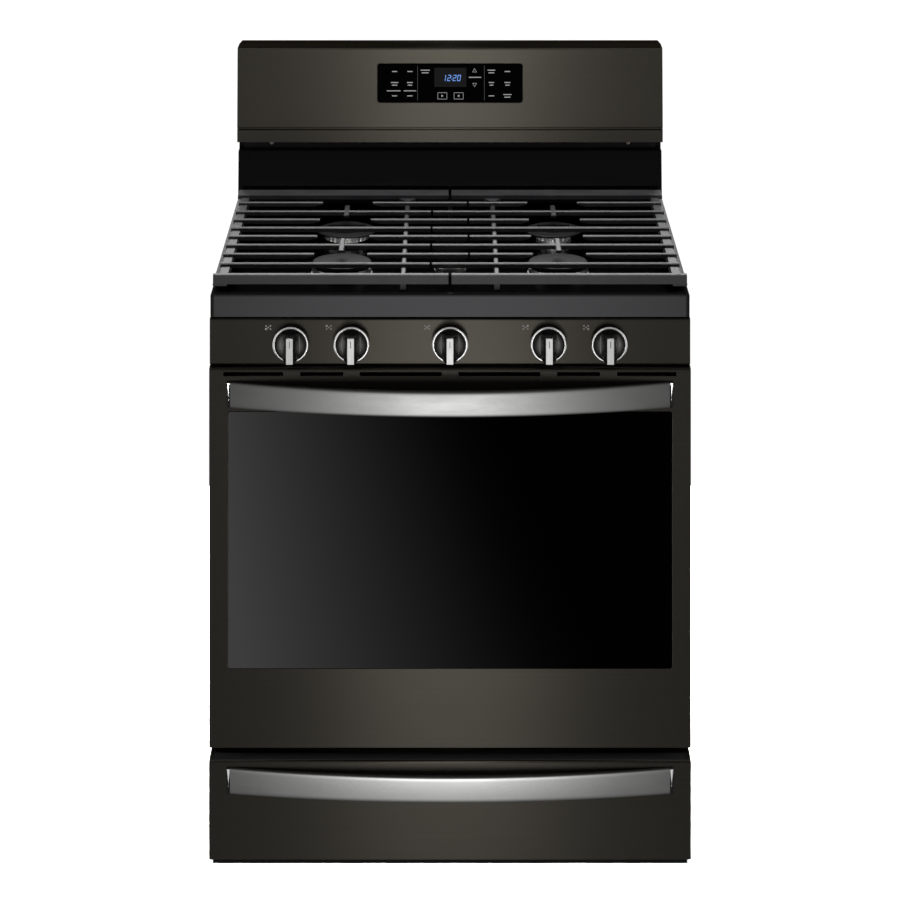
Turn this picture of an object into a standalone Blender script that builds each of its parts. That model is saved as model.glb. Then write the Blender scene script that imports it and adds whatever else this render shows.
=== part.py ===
"""Freestanding 30-inch gas range: chassis, oven, door, drawer, cooktop and backguard.

Metres, +Z up, front towards -Y.  The origin is on the floor under the middle of the range.
Every sub-part is one closed body in an object of its own.
"""
import math

import bmesh
import bpy
from mathutils import Matrix, Vector

# Driving dimensions ------------------------------------------------------------------
WIDTH = 0.759
HEIGHT = 1.168
DOOR_FACE = -0.3105          # y of the door's front face
BACK = 0.3675                # y of the backguard's rear edge
HALF = WIDTH / 2
FIT = 0.0003                 # gap kept between pieces that touch
SHEET = 0.0008               # folded sheet of the chassis
PRESSING = 0.0010            # heavier pressed sheet of the door and panels

FOOT_X, FOOT_Y = 0.340, (-0.222, 0.318)
BASE_TOP, BASE_BOTTOM = 0.055, 0.030
REAR_FACE = 0.3665           # y of the rear panel's outer face
CHASSIS_FRONT, CHASSIS_BACK = -0.2590, REAR_FACE - SHEET - 0.0005
CHASSIS_TOP = 0.8605

OVEN_HALF, OVEN_FLOOR, OVEN_ROOF = 0.305, 0.262, 0.722
OVEN_BACK = 0.223
FRAME_FACE = CHASSIS_FRONT - FIT - 0.0012
LINER = 0.0015
RACK_LEVELS = (0.340, 0.410, 0.480, 0.550, 0.620)
RACK_FRONT, RACK_BACK = -0.215, 0.150
FAN_HEIGHT = 0.500

DOOR_BOTTOM, DOOR_TOP = 0.184, 0.7824
DOOR_BACK = -0.2655
HINGE_Y, HINGE_Z = -0.295, 0.196
SKIN_BACK = -0.2750
GLASS_HALF, GLASS_BOTTOM, GLASS_TOP = 0.350, 0.3086, 0.7139

DRAWER_FACE, DRAWER_BACK = -0.3152, -0.2640
DRAWER_BOTTOM, DRAWER_TOP = 0.010, 0.1655
HANDLE_HALF, HANDLE_TALL, HANDLE_END = 0.351, 0.040, 0.008
DOOR_HANDLE_BOW, DOOR_HANDLE_BOTTOM = 0.0490, 0.722
DRAWER_HANDLE_BOW, DRAWER_HANDLE_BOTTOM = 0.0328, 0.117

PANEL_FACE, PANEL_BACK = -0.3065, -0.2635
PANEL_BOTTOM, PANEL_TOP = 0.7867, 0.8584
KNOB_X = (-0.2505, -0.155, 0.0, 0.155, 0.2505)
KNOB_Z = 0.822

COOKTOP_FRONT, COOKTOP_BACK = -0.304, 0.285
COOKTOP_BOTTOM, COOKTOP_RIM, WELL_FLOOR = 0.861, 0.897, 0.870
BURNER_X, FRONT_BURNER_Y, REAR_BURNER_Y = 0.178, -0.1042, 0.1106
OVAL_Y = 0.0035

GRATE_FRONT, GRATE_BACK = -0.2825, 0.2630
GRATE_ROWS = tuple(DOOR_FACE + d for d in
                   (0.4871, 0.4256, 0.3703, 0.3154, 0.2617, 0.2063, 0.1503, 0.0929))
GRATE_TOP = 0.9228

CONSOLE_BOTTOM = 1.0018
CREASE_Y, CREASE_Z = 0.2835, 1.0285
CONSOLE_EDGE_Y, CONSOLE_EDGE_Z = 0.2925, 1.1655
GLASS_CENTRE_Z = 1.1065

# Finishes: colour, metallic, roughness --------------------------------------------------
FINISHES = {
    "black_stainless": ((0.075, 0.070, 0.058), 1.0, 0.34),
    "handle_steel": ((0.42, 0.42, 0.41), 1.0, 0.28),
    "glass_black": ((0.010, 0.010, 0.011), 0.0, 0.05),
    "enamel_black": ((0.012, 0.012, 0.013), 0.0, 0.12),
    "cooktop_grey": ((0.050, 0.052, 0.056), 0.6, 0.35),
    "cast_iron": ((0.045, 0.045, 0.047), 0.2, 0.62),
    "burner_aluminium": ((0.50, 0.50, 0.50), 1.0, 0.42),
    "zinc_sheet": ((0.48, 0.49, 0.50), 1.0, 0.45),
    "painted_side": ((0.030, 0.030, 0.031), 0.3, 0.45),
    "chrome_wire": ((0.60, 0.60, 0.60), 1.0, 0.18),
    "oven_enamel": ((0.030, 0.034, 0.042), 0.0, 0.22),
    "knob_metal": ((0.22, 0.22, 0.22), 1.0, 0.30),
    "gasket_fibre": ((0.10, 0.10, 0.10), 0.0, 0.90),
    "foot_plastic": ((0.025, 0.025, 0.025), 0.0, 0.60),
    "brass": ((0.62, 0.47, 0.22), 1.0, 0.35),
    "display": ((0.010, 0.020, 0.040), 0.0, 0.20),
    "tool": ((0.8, 0.2, 0.2), 0.0, 0.5),
}


# Modelling helpers ------------------------------------------------------------------------
def finish(name):
    material = bpy.data.materials.get(name)
    if material is None:
        colour, metallic, roughness = FINISHES[name]
        material = bpy.data.materials.new(name)
        material.use_nodes = True
        shader = material.node_tree.nodes["Principled BSDF"]
        shader.inputs["Base Color"].default_value = (*colour, 1.0)
        shader.inputs["Metallic"].default_value = metallic
        shader.inputs["Roughness"].default_value = roughness
    return material


def keep(name, bm, look):
    """Turn a bmesh into a linked object."""
    bmesh.ops.recalc_face_normals(bm, faces=bm.faces)
    mesh = bpy.data.meshes.new(name)
    bm.to_mesh(mesh)
    bm.free()
    mesh.materials.append(finish(look))
    thing = bpy.data.objects.new(name, mesh)
    bpy.context.scene.collection.objects.link(thing)
    return thing


def prism(name, look, outline, axis, low, high):
    """A closed outline in the plane across axis, extruded from low to high along it."""
    place = {"X": lambda a, b, c: (c, a, b),
             "Y": lambda a, b, c: (a, c, b),
             "Z": lambda a, b, c: (a, b, c)}[axis]
    bm = bmesh.new()
    lower = [bm.verts.new(place(a, b, low)) for a, b in outline]
    upper = [bm.verts.new(place(a, b, high)) for a, b in outline]
    bm.faces.new(lower[::-1])
    bm.faces.new(upper)
    for i in range(len(outline)):
        j = (i + 1) % len(outline)
        bm.faces.new((lower[i], lower[j], upper[j], upper[i]))
    return keep(name, bm, look)


def block(name, look, x, y, z):
    return prism(name, look, [(x[0], y[0]), (x[1], y[0]), (x[1], y[1]), (x[0], y[1])], "Z", *z)


def tool(x, y, z):
    return block("tool", "tool", x, y, z)


def rounded(a, b, radius, steps=3):
    """The outline of a rectangle with round corners."""
    corners = ((a[1] - radius, b[0] + radius, -90), (a[1] - radius, b[1] - radius, 0),
               (a[0] + radius, b[1] - radius, 90), (a[0] + radius, b[0] + radius, 180))
    points = []
    for centre_a, centre_b, start in corners:
        for i in range(steps + 1):
            turn = math.radians(start + 90 * i / steps)
            points.append((centre_a + radius * math.cos(turn), centre_b + radius * math.sin(turn)))
    return points


def turned(name, look, profile, centre, axis="Z", steps=24, stretch=0.0):
    """Turn (radius, height) points about an axis through centre.

    stretch moves the two halves of each circle apart along Y, which makes a long oval.
    """
    bm = bmesh.new()
    rings = []
    for radius, height in profile:
        ring = []
        for i in range(1 if radius == 0 else steps):
            turn = 2 * math.pi * (i + 0.5) / steps
            a, b = radius * math.cos(turn), radius * math.sin(turn)
            if radius:
                b += math.copysign(stretch, b)
            spot = {"Z": (a, b, height), "Y": (a, height, b), "X": (height, a, b)}[axis]
            ring.append(bm.verts.new(Vector(spot) + Vector(centre)))
        rings.append(ring)
    for low, high in zip(rings, rings[1:]):
        for i in range(steps):
            j = (i + 1) % steps
            corners = [low[i % len(low)], low[j % len(low)], high[j % len(high)], high[i % len(high)]]
            bm.faces.new(list(dict.fromkeys(corners)))
    return keep(name, bm, look)


def rod(name, look, radius, start, end, axis, centre, steps=12):
    return turned(name, look, [(0, start), (radius, start), (radius, end), (0, end)],
                  centre, axis, steps)


def soften(thing, width, segments, chosen):
    """Bevel the edges whose two end points both satisfy chosen."""
    bm = bmesh.new()
    bm.from_mesh(thing.data)
    edges = [e for e in bm.edges if chosen(e.verts[0].co) and chosen(e.verts[1].co)]
    bmesh.ops.bevel(bm, geom=edges, offset=width, segments=segments, profile=0.5,
                    affect="EDGES", clamp_overlap=True)
    bm.to_mesh(thing.data)
    bm.free()
    return thing


def combine(thing, operation, tools):
    """Cut the tools out of thing, or weld them to it, and remove them."""
    for item in tools:
        step = thing.modifiers.new(operation.lower(), "BOOLEAN")
        step.operation = operation
        step.solver = "EXACT"
        step.object = item
    graph = bpy.context.evaluated_depsgraph_get()
    result = bpy.data.meshes.new_from_object(thing.evaluated_get(graph))
    thing.modifiers.clear()
    thing.data = result
    for item in tools:
        bpy.data.objects.remove(item)
    return thing


def cut(thing, *tools):
    return combine(thing, "DIFFERENCE", tools)


def weld(thing, *tools):
    return combine(thing, "UNION", tools)


def pivot(thing, point):
    """Put the object's origin on its joint's axis without moving the solid."""
    thing.data.transform(Matrix.Translation(-Vector(point)))
    thing.location = point
    return thing


def smooth(thing, angle=35):
    thing.data.shade_smooth()
    thing.data.set_sharp_from_angle(angle=math.radians(angle))
    return thing


# Chassis ----------------------------------------------------------------------------------
def side_panel(name, side):
    """A folded sheet with a flange turned inwards at the front and the back."""
    outer, flange = HALF - 0.0005, 0.019
    inner = outer - SHEET
    outline = [(outer, CHASSIS_FRONT), (outer, CHASSIS_BACK), (outer - flange, CHASSIS_BACK),
               (outer - flange, CHASSIS_BACK - SHEET), (inner, CHASSIS_BACK - SHEET),
               (inner, CHASSIS_FRONT + SHEET), (outer - flange, CHASSIS_FRONT + SHEET),
               (outer - flange, CHASSIS_FRONT)]
    prism(name, "painted_side", [(side * x, y) for x, y in outline], "Z", 0.031, CHASSIS_TOP)


def rear_panel():
    panel = block("rear_panel", "zinc_sheet", (-0.373, 0.373), (REAR_FACE - SHEET, REAR_FACE),
                  (0.031, HEIGHT - 0.0025))
    inlet = rod("tool", "tool", 0.015, 0.35, 0.38, "Y", (0.25, 0, 0.12))
    louvres = [tool((x - 0.045, x + 0.045), (0.35, 0.38), (z, z + 0.004))
               for x in (-0.24, 0.24) for z in (0.66, 0.68, 0.70, 0.72)]
    cut(panel, inlet, *louvres)


def base_frame():
    """A ring of folded angle that carries the chassis, the drawer rails and the feet."""
    wide, front, back = 0.3768, CHASSIS_FRONT + 0.0018, CHASSIS_BACK - 0.0018
    frame = block("base_frame", "zinc_sheet", (-wide, wide), (front, back), (BASE_BOTTOM, BASE_TOP))
    angle = 0.0015
    shelf = tool((-wide + angle, wide - angle), (front + angle, back - angle),
                 (BASE_BOTTOM + angle, BASE_TOP + 0.01))
    middle = tool((-0.312, 0.312), (-0.195, 0.291), (0.02, 0.07))
    holes = [rod("tool", "tool", 0.0055, 0.02, 0.04, "Z", (x, y, 0))
             for x in (-FOOT_X, FOOT_X) for y in FOOT_Y]
    cut(frame, shelf, middle, *holes)


def levelling_feet():
    profile = [(0, 0), (0.016, 0), (0.017, 0.002), (0.017, 0.007), (0.007, 0.010), (0.005, 0.012),
               (0.005, 0.050), (0, 0.050)]
    spots = [(x, y) for y in FOOT_Y for x in (-FOOT_X, FOOT_X)]
    for number, (x, y) in enumerate(spots, 1):
        foot = turned(f"levelling_foot_{number}", "foot_plastic", profile, (x, y, 0), steps=16)
        smooth(pivot(foot, (x, y, 0)))


def gas_inlet():
    """The pressure regulator with its inlet pipe, which ends flush with the back."""
    body = block("gas_inlet", "brass", (0.228, 0.272), (0.290, 0.334), (0.098, 0.142))
    pipe = rod("tool", "brass", 0.0107, 0.320, BACK - 0.0008, "Y", (0.25, 0, 0.12), 16)
    dome = rod("tool", "brass", 0.018, 0.140, 0.160, "Z", (0.25, 0.312, 0), 16)
    weld(body, pipe, dome)


# Oven -------------------------------------------------------------------------------------
def front_frame():
    frame = block("front_frame", "enamel_black", (-HALF + 0.0005, HALF - 0.0005),
                  (FRAME_FACE, CHASSIS_FRONT - FIT), (0.236, 0.785))
    cut(frame, tool((-OVEN_HALF, OVEN_HALF), (-0.27, -0.25), (OVEN_FLOOR, OVEN_ROOF)))


def oven_cavity():
    """The enamelled liner, with a ledge on each side wall at every rack level."""
    wall = OVEN_HALF + LINER
    liner = block("oven_cavity", "oven_enamel", (-wall, wall), (CHASSIS_FRONT, OVEN_BACK + LINER),
                  (OVEN_FLOOR - LINER, OVEN_ROOF + LINER))
    shaft_hole = rod("tool", "tool", 0.007, 0.20, 0.25, "Y", (0, 0, FAN_HEIGHT))
    cut(liner, tool((-OVEN_HALF, OVEN_HALF), (-0.30, OVEN_BACK), (OVEN_FLOOR, OVEN_ROOF)), shaft_hole)
    ledges = []
    for level in RACK_LEVELS:
        for side in (-1, 1):
            spread = sorted((side * 0.2895, side * (OVEN_HALF + LINER / 2)))
            ledges.append(tool(spread, (-0.235, 0.200), (level - 0.002, level)))
    weld(liner, *ledges)


def oven_floor():
    """The removable plate above the bake burner, with heat slots along both sides."""
    plate = block("oven_floor", "oven_enamel", (-0.299, 0.299), (-0.250, 0.215), (0.2895, 0.2910))
    lip = tool((-0.299, 0.299), (-0.250, -0.2485), (0.2640, 0.2902))
    weld(plate, lip)
    slots = [tool((x - 0.006, x + 0.006), (y, y + 0.05), (0.28, 0.30))
             for x in (-0.270, 0.270) for y in (-0.20, -0.12, -0.04, 0.04, 0.12)]
    cut(plate, *slots)


def oven_burners():
    rod("bake_burner", "burner_aluminium", 0.011, -0.19, OVEN_BACK - FIT, "Y", (0, 0, 0.2755), 12)
    broiler = rod("broil_burner", "burner_aluminium", 0.011, -0.19, OVEN_BACK - FIT, "Y",
                  (0, 0, 0.7055), 12)
    shade = prism("tool", "burner_aluminium",
                  [(-0.10, 0.690), (-0.012, 0.7105), (0.012, 0.7105), (0.10, 0.690), (0.10, 0.692),
                   (0.014, 0.7120), (-0.014, 0.7120), (-0.10, 0.692)], "Y", -0.18, 0.20)
    weld(broiler, shade)


def convection_fan():
    """A centrifugal wheel on a shaft that passes through the liner's rear wall."""
    centre = (0, 0, FAN_HEIGHT)
    wheel = turned("convection_fan", "zinc_sheet",
                   [(0, 0.180), (0.012, 0.180), (0.012, 0.206), (0.070, 0.206), (0.070, 0.208),
                    (0.005, 0.208), (0.005, 0.250), (0, 0.250)], centre, "Y", 20)
    blades = []
    for number in range(8):
        blade = block("tool", "zinc_sheet", (0.026, 0.068), (0.184, 0.207), (-0.0008, 0.0008))
        turn = Matrix.Rotation(math.radians(45 * number), 4, "Y")
        blade.data.transform(Matrix.Translation(centre) @ turn)
        blades.append(blade)
    weld(wheel, *blades)
    pivot(wheel, (0, 0.208, FAN_HEIGHT))


def fan_cover():
    """A pan over the fan, with an intake grille in the middle and outlets at its ends."""
    low, high = FAN_HEIGHT - 0.11, FAN_HEIGHT + 0.11
    cover = block("fan_cover", "oven_enamel", (-0.12, 0.12), (0.162, OVEN_BACK - FIT), (low, high))
    hollow = tool((-0.1185, 0.1185), (0.1635, 0.25), (low + 0.0015, high - 0.0015))
    intake = [tool((-0.045, 0.045), (0.15, 0.17), (z, z + 0.005))
              for z in (0.466, 0.478, 0.490, 0.502, 0.514, 0.526)]
    outlets = [tool((side * 0.13 - 0.02, side * 0.13 + 0.02), (0.175, 0.210), (z, z + 0.02))
               for side in (-1, 1) for z in (0.42, 0.49, 0.56)]
    cut(cover, hollow, *intake, *outlets)


def oven_rack(name, level):
    """A wire rack whose side rods lie on the liner's ledges."""
    low = level + FIT
    rack = tool((-0.2970, -0.2920), (RACK_FRONT, RACK_BACK), (low, low + 0.0055))
    rack.name = name
    rack.data.materials[0] = finish("chrome_wire")
    rods = [tool((0.2920, 0.2970), (RACK_FRONT, RACK_BACK), (low, low + 0.0055))]
    for y in (RACK_FRONT + 0.0005, -0.10, 0.03, RACK_BACK - 0.0055):
        rods.append(tool((-0.2945, 0.2945), (y, y + 0.005), (low + 0.0004, low + 0.0048)))
    count = 9
    for number in range(1, count + 1):
        x = -0.2945 + 0.589 * number / (count + 1)
        rods.append(tool((x - 0.0018, x + 0.0018), (RACK_FRONT + 0.002, RACK_BACK - 0.002),
                         (low + 0.0030, low + 0.0066)))
    weld(rack, *rods)
    pivot(rack, (0, RACK_FRONT, level))


# Door -------------------------------------------------------------------------------------
def bowed_bar(name, face, bow, bottom):
    """A pull that stands off a face in an even curve and meets it at both ends."""
    count = 16
    outer, inner = [], []
    for i in range(count + 1):
        share = -1 + 2 * i / count
        rise = 1 - share * share
        outer.append((share * HANDLE_HALF, face - HANDLE_END - bow * rise))
        inner.append((share * HANDLE_HALF, face - FIT - (bow - 0.0045) * rise))
    top = bottom + HANDLE_TALL
    bar = prism(name, "handle_steel", outer + inner[::-1], "Z", bottom, top)
    front = {(round(x, 5), round(y, 5)) for x, y in outer}
    soften(bar, 0.004, 1, lambda c: (round(c.x, 5), round(c.y, 5)) in front)
    return smooth(bar)


def door_skin():
    """The pressed outer shell: window opening, rolled top edge and a row of air slots."""
    skin = block("door_skin", "black_stainless", (-HALF, HALF), (DOOR_FACE, SKIN_BACK),
                 (DOOR_BOTTOM, DOOR_TOP))
    soften(skin, 0.006, 3, lambda c: abs(c.y - DOOR_FACE) < 1e-5 and c.z > 0.7)
    inside = (-HALF + PRESSING, HALF - PRESSING)
    floor = DOOR_BOTTOM + PRESSING
    rolled_edge = tool(inside, (DOOR_FACE + 0.0055, -0.26), (floor, DOOR_TOP - PRESSING))
    hollow = tool(inside, (DOOR_FACE + PRESSING, -0.26), (floor, 0.7660))
    window = prism("tool", "tool", rounded((-GLASS_HALF, GLASS_HALF), (GLASS_BOTTOM, GLASS_TOP), 0.004),
                   "Y", -0.33, -0.29)
    slots = []
    for start, end in ((0.013, 0.142), (0.168, 0.236), (0.263, 0.357)):
        for side in (-1, 1):
            slots.append(tool(sorted((side * start, side * end)), (-0.33, -0.29), (0.7696, 0.7756)))
    hinge_notches = [tool(sorted((side * 0.346, side * 0.362)), (HINGE_Y - 0.009, -0.25), (0.17, 0.20))
                     for side in (-1, 1)]
    cut(skin, rolled_edge, hollow, window, *slots, *hinge_notches)
    pivot(skin, (0, HINGE_Y, HINGE_Z))


def door_glass():
    outline = rounded((-GLASS_HALF + FIT, GLASS_HALF - FIT), (GLASS_BOTTOM + FIT, GLASS_TOP - FIT), 0.004)
    glass = prism("door_glass", "glass_black", outline, "Y", DOOR_FACE + 0.0003, DOOR_FACE + 0.0050)
    pivot(glass, (0, HINGE_Y, HINGE_Z))


def door_inner_panel():
    """The enamelled inner pan, with its window and the two notches that the hinges pass."""
    half, thick = HALF - 0.001, 0.0012
    low, high = DOOR_BOTTOM + 0.001, DOOR_TOP - 0.001
    panel = block("door_inner_panel", "oven_enamel", (-half, half), (SKIN_BACK + FIT, DOOR_BACK),
                  (low, high))
    hollow = tool((-half + thick, half - thick), (-0.28, DOOR_BACK - thick), (low + thick, high - thick))
    window = prism("tool", "tool", rounded((-0.26, 0.26), (0.36, 0.64), 0.02), "Y", -0.29, -0.25)
    notches = [tool(sorted((side * 0.346, side * 0.362)), (-0.29, -0.25), (0.17, 0.2330))
               for side in (-1, 1)]
    cut(panel, hollow, window, *notches)
    pivot(panel, (0, HINGE_Y, HINGE_Z))


def door_inner_glass():
    outline = rounded((-0.275, 0.275), (0.345, 0.655), 0.012)
    glass = prism("door_inner_glass", "glass_black", outline, "Y", -0.2717, -0.2670)
    pivot(glass, (0, HINGE_Y, HINGE_Z))


def door_gasket():
    outer = rounded((-0.3190, 0.3190), (0.2460, 0.7380), 0.02)
    ring = prism("door_gasket", "gasket_fibre", outer, "Y", DOOR_BACK + FIT, FRAME_FACE - FIT)
    inner = prism("tool", "tool", rounded((-0.3110, 0.3110), (0.2540, 0.7300), 0.014), "Y", -0.28, -0.25)
    cut(ring, inner)
    pivot(ring, (0, HINGE_Y, HINGE_Z))


def door_hinge(name, side):
    """A bracket fixed to the chassis; its cross pin is what the door swings on."""
    x = sorted((side * 0.3520, side * 0.3560))
    bracket = block(name, "zinc_sheet", x, (HINGE_Y - 0.002, -0.215), (HINGE_Z - 0.006, HINGE_Z + 0.006))
    foot = tool(sorted((side * 0.3530, side * 0.3765)), (-0.235, -0.217), (HINGE_Z - 0.016, HINGE_Z + 0.016))
    pin = rod("tool", "zinc_sheet", 0.0045, *sorted((side * 0.3480, side * 0.3600)), "X",
              (0, HINGE_Y, HINGE_Z), 16)
    weld(bracket, foot, pin)


# Drawer -----------------------------------------------------------------------------------
def drawer_front():
    front = block("drawer_front", "black_stainless", (-HALF, HALF), (DRAWER_FACE, DRAWER_BACK),
                  (DRAWER_BOTTOM, DRAWER_TOP))
    soften(front, 0.003, 2, lambda c: abs(c.y - DRAWER_FACE) < 1e-5 and c.z > 0.1)
    cut(front, tool((-HALF + PRESSING, HALF - PRESSING), (DRAWER_FACE + PRESSING, -0.25),
                    (DRAWER_BOTTOM + PRESSING, DRAWER_TOP - PRESSING)))


def drawer_box():
    """The pan, whose front wall backs the drawer front."""
    pan = block("drawer_box", "zinc_sheet", (-0.335, 0.335), (DRAWER_BACK + FIT, 0.240),
                (0.058, 0.150))
    cut(pan, tool((-0.335 + SHEET, 0.335 - SHEET), (DRAWER_BACK + FIT + SHEET, 0.240 - SHEET),
                  (0.058 + SHEET, 0.20)))


def drawer_rail(name, side):
    """A fixed angle rail beside the pan, on the base frame."""
    outline = [(0.3365, 0.0560), (0.3740, 0.0560), (0.3740, 0.0572), (0.3377, 0.0572),
               (0.3377, 0.0850), (0.3365, 0.0850)]
    prism(name, "zinc_sheet", [(side * x, z) for x, z in outline], "Y", -0.250, 0.300)


# Controls ---------------------------------------------------------------------------------
def control_panel():
    half = HALF - 0.0005
    panel = block("control_panel", "black_stainless", (-half, half), (PANEL_FACE, PANEL_BACK),
                  (PANEL_BOTTOM, PANEL_TOP))
    soften(panel, 0.002, 2, lambda c: abs(c.y - PANEL_FACE) < 1e-5)
    hollow = tool((-half + PRESSING, half - PRESSING), (PANEL_FACE + PRESSING, -0.25),
                  (PANEL_BOTTOM + PRESSING, PANEL_TOP - PRESSING))
    holes = [rod("tool", "tool", 0.0075, -0.33, -0.29, "Y", (x, 0, KNOB_Z)) for x in KNOB_X]
    cut(panel, hollow, *holes)


def gas_manifold():
    """The supply pipe with one valve body behind each knob."""
    pipe = rod("gas_manifold", "zinc_sheet", 0.009, -0.34, 0.34, "X", (0, -0.232, KNOB_Z), 12)
    valves = [tool((x - 0.013, x + 0.013), (-0.262, -0.222), (KNOB_Z - 0.015, KNOB_Z + 0.015))
              for x in KNOB_X]
    weld(pipe, *valves)
    cut(pipe, *[rod("tool", "tool", 0.0046, -0.28, -0.237, "Y", (x, 0, KNOB_Z), 8) for x in KNOB_X])


def valve_stem(number, x):
    stem = rod(f"valve_stem_{number}", "brass", 0.0040, -0.335, -0.241, "Y", (x, 0, KNOB_Z), 8)
    pivot(stem, (x, PANEL_FACE, KNOB_Z))


def knob(number, x):
    """A dished skirt with a thin ring, and a tall grip bar across it."""
    face = PANEL_FACE
    profile = [(0, face - 0.0040), (0.0220, face - 0.0040), (0.0235, face - 0.0110),
               (0.0285, face - 0.0120), (0.0285, face - 0.0145), (0.0262, face - 0.0150),
               (0.0235, face - 0.0250), (0.0170, face - 0.0290), (0, face - 0.0300)]
    body = turned(f"knob_{number}", "knob_metal", profile, (x, 0, KNOB_Z), "Y", 20)
    rise = [(-0.0135, face - 0.0200), (0.0135, face - 0.0200), (0.0075, face - 0.0465),
            (0.0063, face - 0.0500), (-0.0063, face - 0.0500), (-0.0075, face - 0.0465)]
    grip = prism("tool", "knob_metal", [(x + a, b) for a, b in rise], "Z", KNOB_Z - 0.0217, KNOB_Z + 0.0217)
    weld(body, grip)
    cut(body, rod("tool", "tool", 0.0046, face - 0.0300, 0, "Y", (x, 0, KNOB_Z), 8))
    smooth(pivot(body, (x, PANEL_FACE, KNOB_Z)))


# Cooktop ----------------------------------------------------------------------------------
def burner_spots():
    """Name, centre, base radius, cap flange radius, raised centre radius and cap top."""
    return (("front_left", -BURNER_X, FRONT_BURNER_Y, 0.0505, 0.0497, 0.0, 0.8955),
            ("front_right", BURNER_X, FRONT_BURNER_Y, 0.0505, 0.0497, 0.0, 0.8955),
            ("rear_left", -BURNER_X, REAR_BURNER_Y, 0.0385, 0.0515, 0.0330, 0.8980),
            ("rear_right", BURNER_X, REAR_BURNER_Y, 0.0310, 0.0495, 0.0285, 0.8980))


def cooktop():
    """The pressed top: a rolled rim round a sunken well that the burners stand in."""
    outline = rounded((-HALF + 0.001, HALF - 0.001), (COOKTOP_FRONT, COOKTOP_BACK), 0.006)
    top = prism("cooktop", "cooktop_grey", outline, "Z", COOKTOP_BOTTOM, COOKTOP_RIM)
    soften(top, 0.004, 3, lambda c: abs(c.z - COOKTOP_RIM) < 1e-5)
    well = prism("tool", "tool", rounded((-0.3680, 0.3680), (-0.2920, 0.2770), 0.012), "Z",
                 WELL_FLOOR, 0.95)
    inside = (-HALF + 0.003, HALF - 0.003)
    under = tool(inside, (COOKTOP_FRONT + 0.002, COOKTOP_BACK - 0.002), (0.85, WELL_FLOOR - 0.0015))
    rim_hollow = cut(tool(inside, (COOKTOP_FRONT + 0.002, COOKTOP_BACK - 0.002),
                          (0.85, COOKTOP_RIM - 0.0025)),
                     tool((-0.3695, 0.3695), (-0.2935, 0.2785), (0.84, 0.90)))
    throats = [rod("tool", "tool", 0.0150, 0.85, 0.90, "Z", (x, y, 0), 16)
               for _, x, y, *_ in burner_spots()]
    throats.append(rod("tool", "tool", 0.0150, 0.85, 0.90, "Z", (0, OVAL_Y, 0), 16))
    cut(top, well, under, rim_hollow, *throats)


def round_burner(name, x, y, base, flange, centre, top):
    """A cast head with its mixing throat below, and a loose cap on it."""
    seat = 0.8880
    head = turned(f"burner_base_{name}", "burner_aluminium",
                  [(0, 0.842), (0.0145, 0.842), (0.0145, WELL_FLOOR + FIT), (base, WELL_FLOOR + FIT),
                   (base, seat - 0.003), (base - 0.004, seat), (0, seat)], (x, y, 0), steps=20)
    smooth(head)
    low = seat + FIT
    edge = 0.8925 if centre else top
    profile = [(0, low), (flange, low), (flange, edge - 0.0015), (flange - 0.0015, edge)]
    if centre:
        profile += [(centre, edge), (centre, top - 0.0015), (centre - 0.0015, top)]
    cap = turned(f"burner_cap_{name}", "cast_iron", profile + [(0, top)], (x, y, 0), steps=24)
    smooth(pivot(cap, (x, y, low)))


def oval_burner():
    half = 0.0905
    seat = 0.8865
    head = turned("burner_base_centre", "burner_aluminium",
                  [(0, WELL_FLOOR + FIT), (0.0240, WELL_FLOOR + FIT), (0.0260, WELL_FLOOR + 0.003),
                   (0.0260, seat - 0.002), (0.0240, seat), (0, seat)],
                  (0, OVAL_Y, 0), steps=24, stretch=half)
    weld(head, rod("tool", "tool", 0.0145, 0.842, 0.875, "Z", (0, OVAL_Y, 0), 16))
    smooth(head)
    low = seat + FIT
    cap = turned("burner_cap_centre", "cast_iron",
                 [(0, low), (0.0250, low), (0.0268, low + 0.0015), (0.0268, 0.8925), (0.0248, 0.8945),
                  (0, 0.8945)], (0, OVAL_Y, 0), steps=24, stretch=half)
    smooth(pivot(cap, (0, OVAL_Y, low)))


def bar(along, start, end, across, top=GRATE_TOP, depth=0.0075, width=0.0078, tips=(0.0, 0.0)):
    """A grate bar with chamfered top edges; a tip is the length of a rising underside."""
    low = top - depth
    rise = low + depth * 0.45
    outline = [(start, top), (start, rise if tips[0] else low)]
    if tips[0]:
        outline.append((start + tips[0], low))
    if tips[1]:
        outline.append((end - tips[1], low))
    outline += [(end, rise if tips[1] else low), (end, top)]
    axis = "Y" if along == "X" else "X"
    piece = prism("tool", "cast_iron", outline, axis, across - width / 2, across + width / 2)
    side = (lambda c: c.y) if along == "X" else (lambda c: c.x)
    for sign in (-1, 1):
        soften(piece, 0.0014, 1, lambda c: abs(c.z - top) < 1e-5
               and abs(side(c) - across - sign * width / 2) < 1e-5)
    return piece


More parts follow.
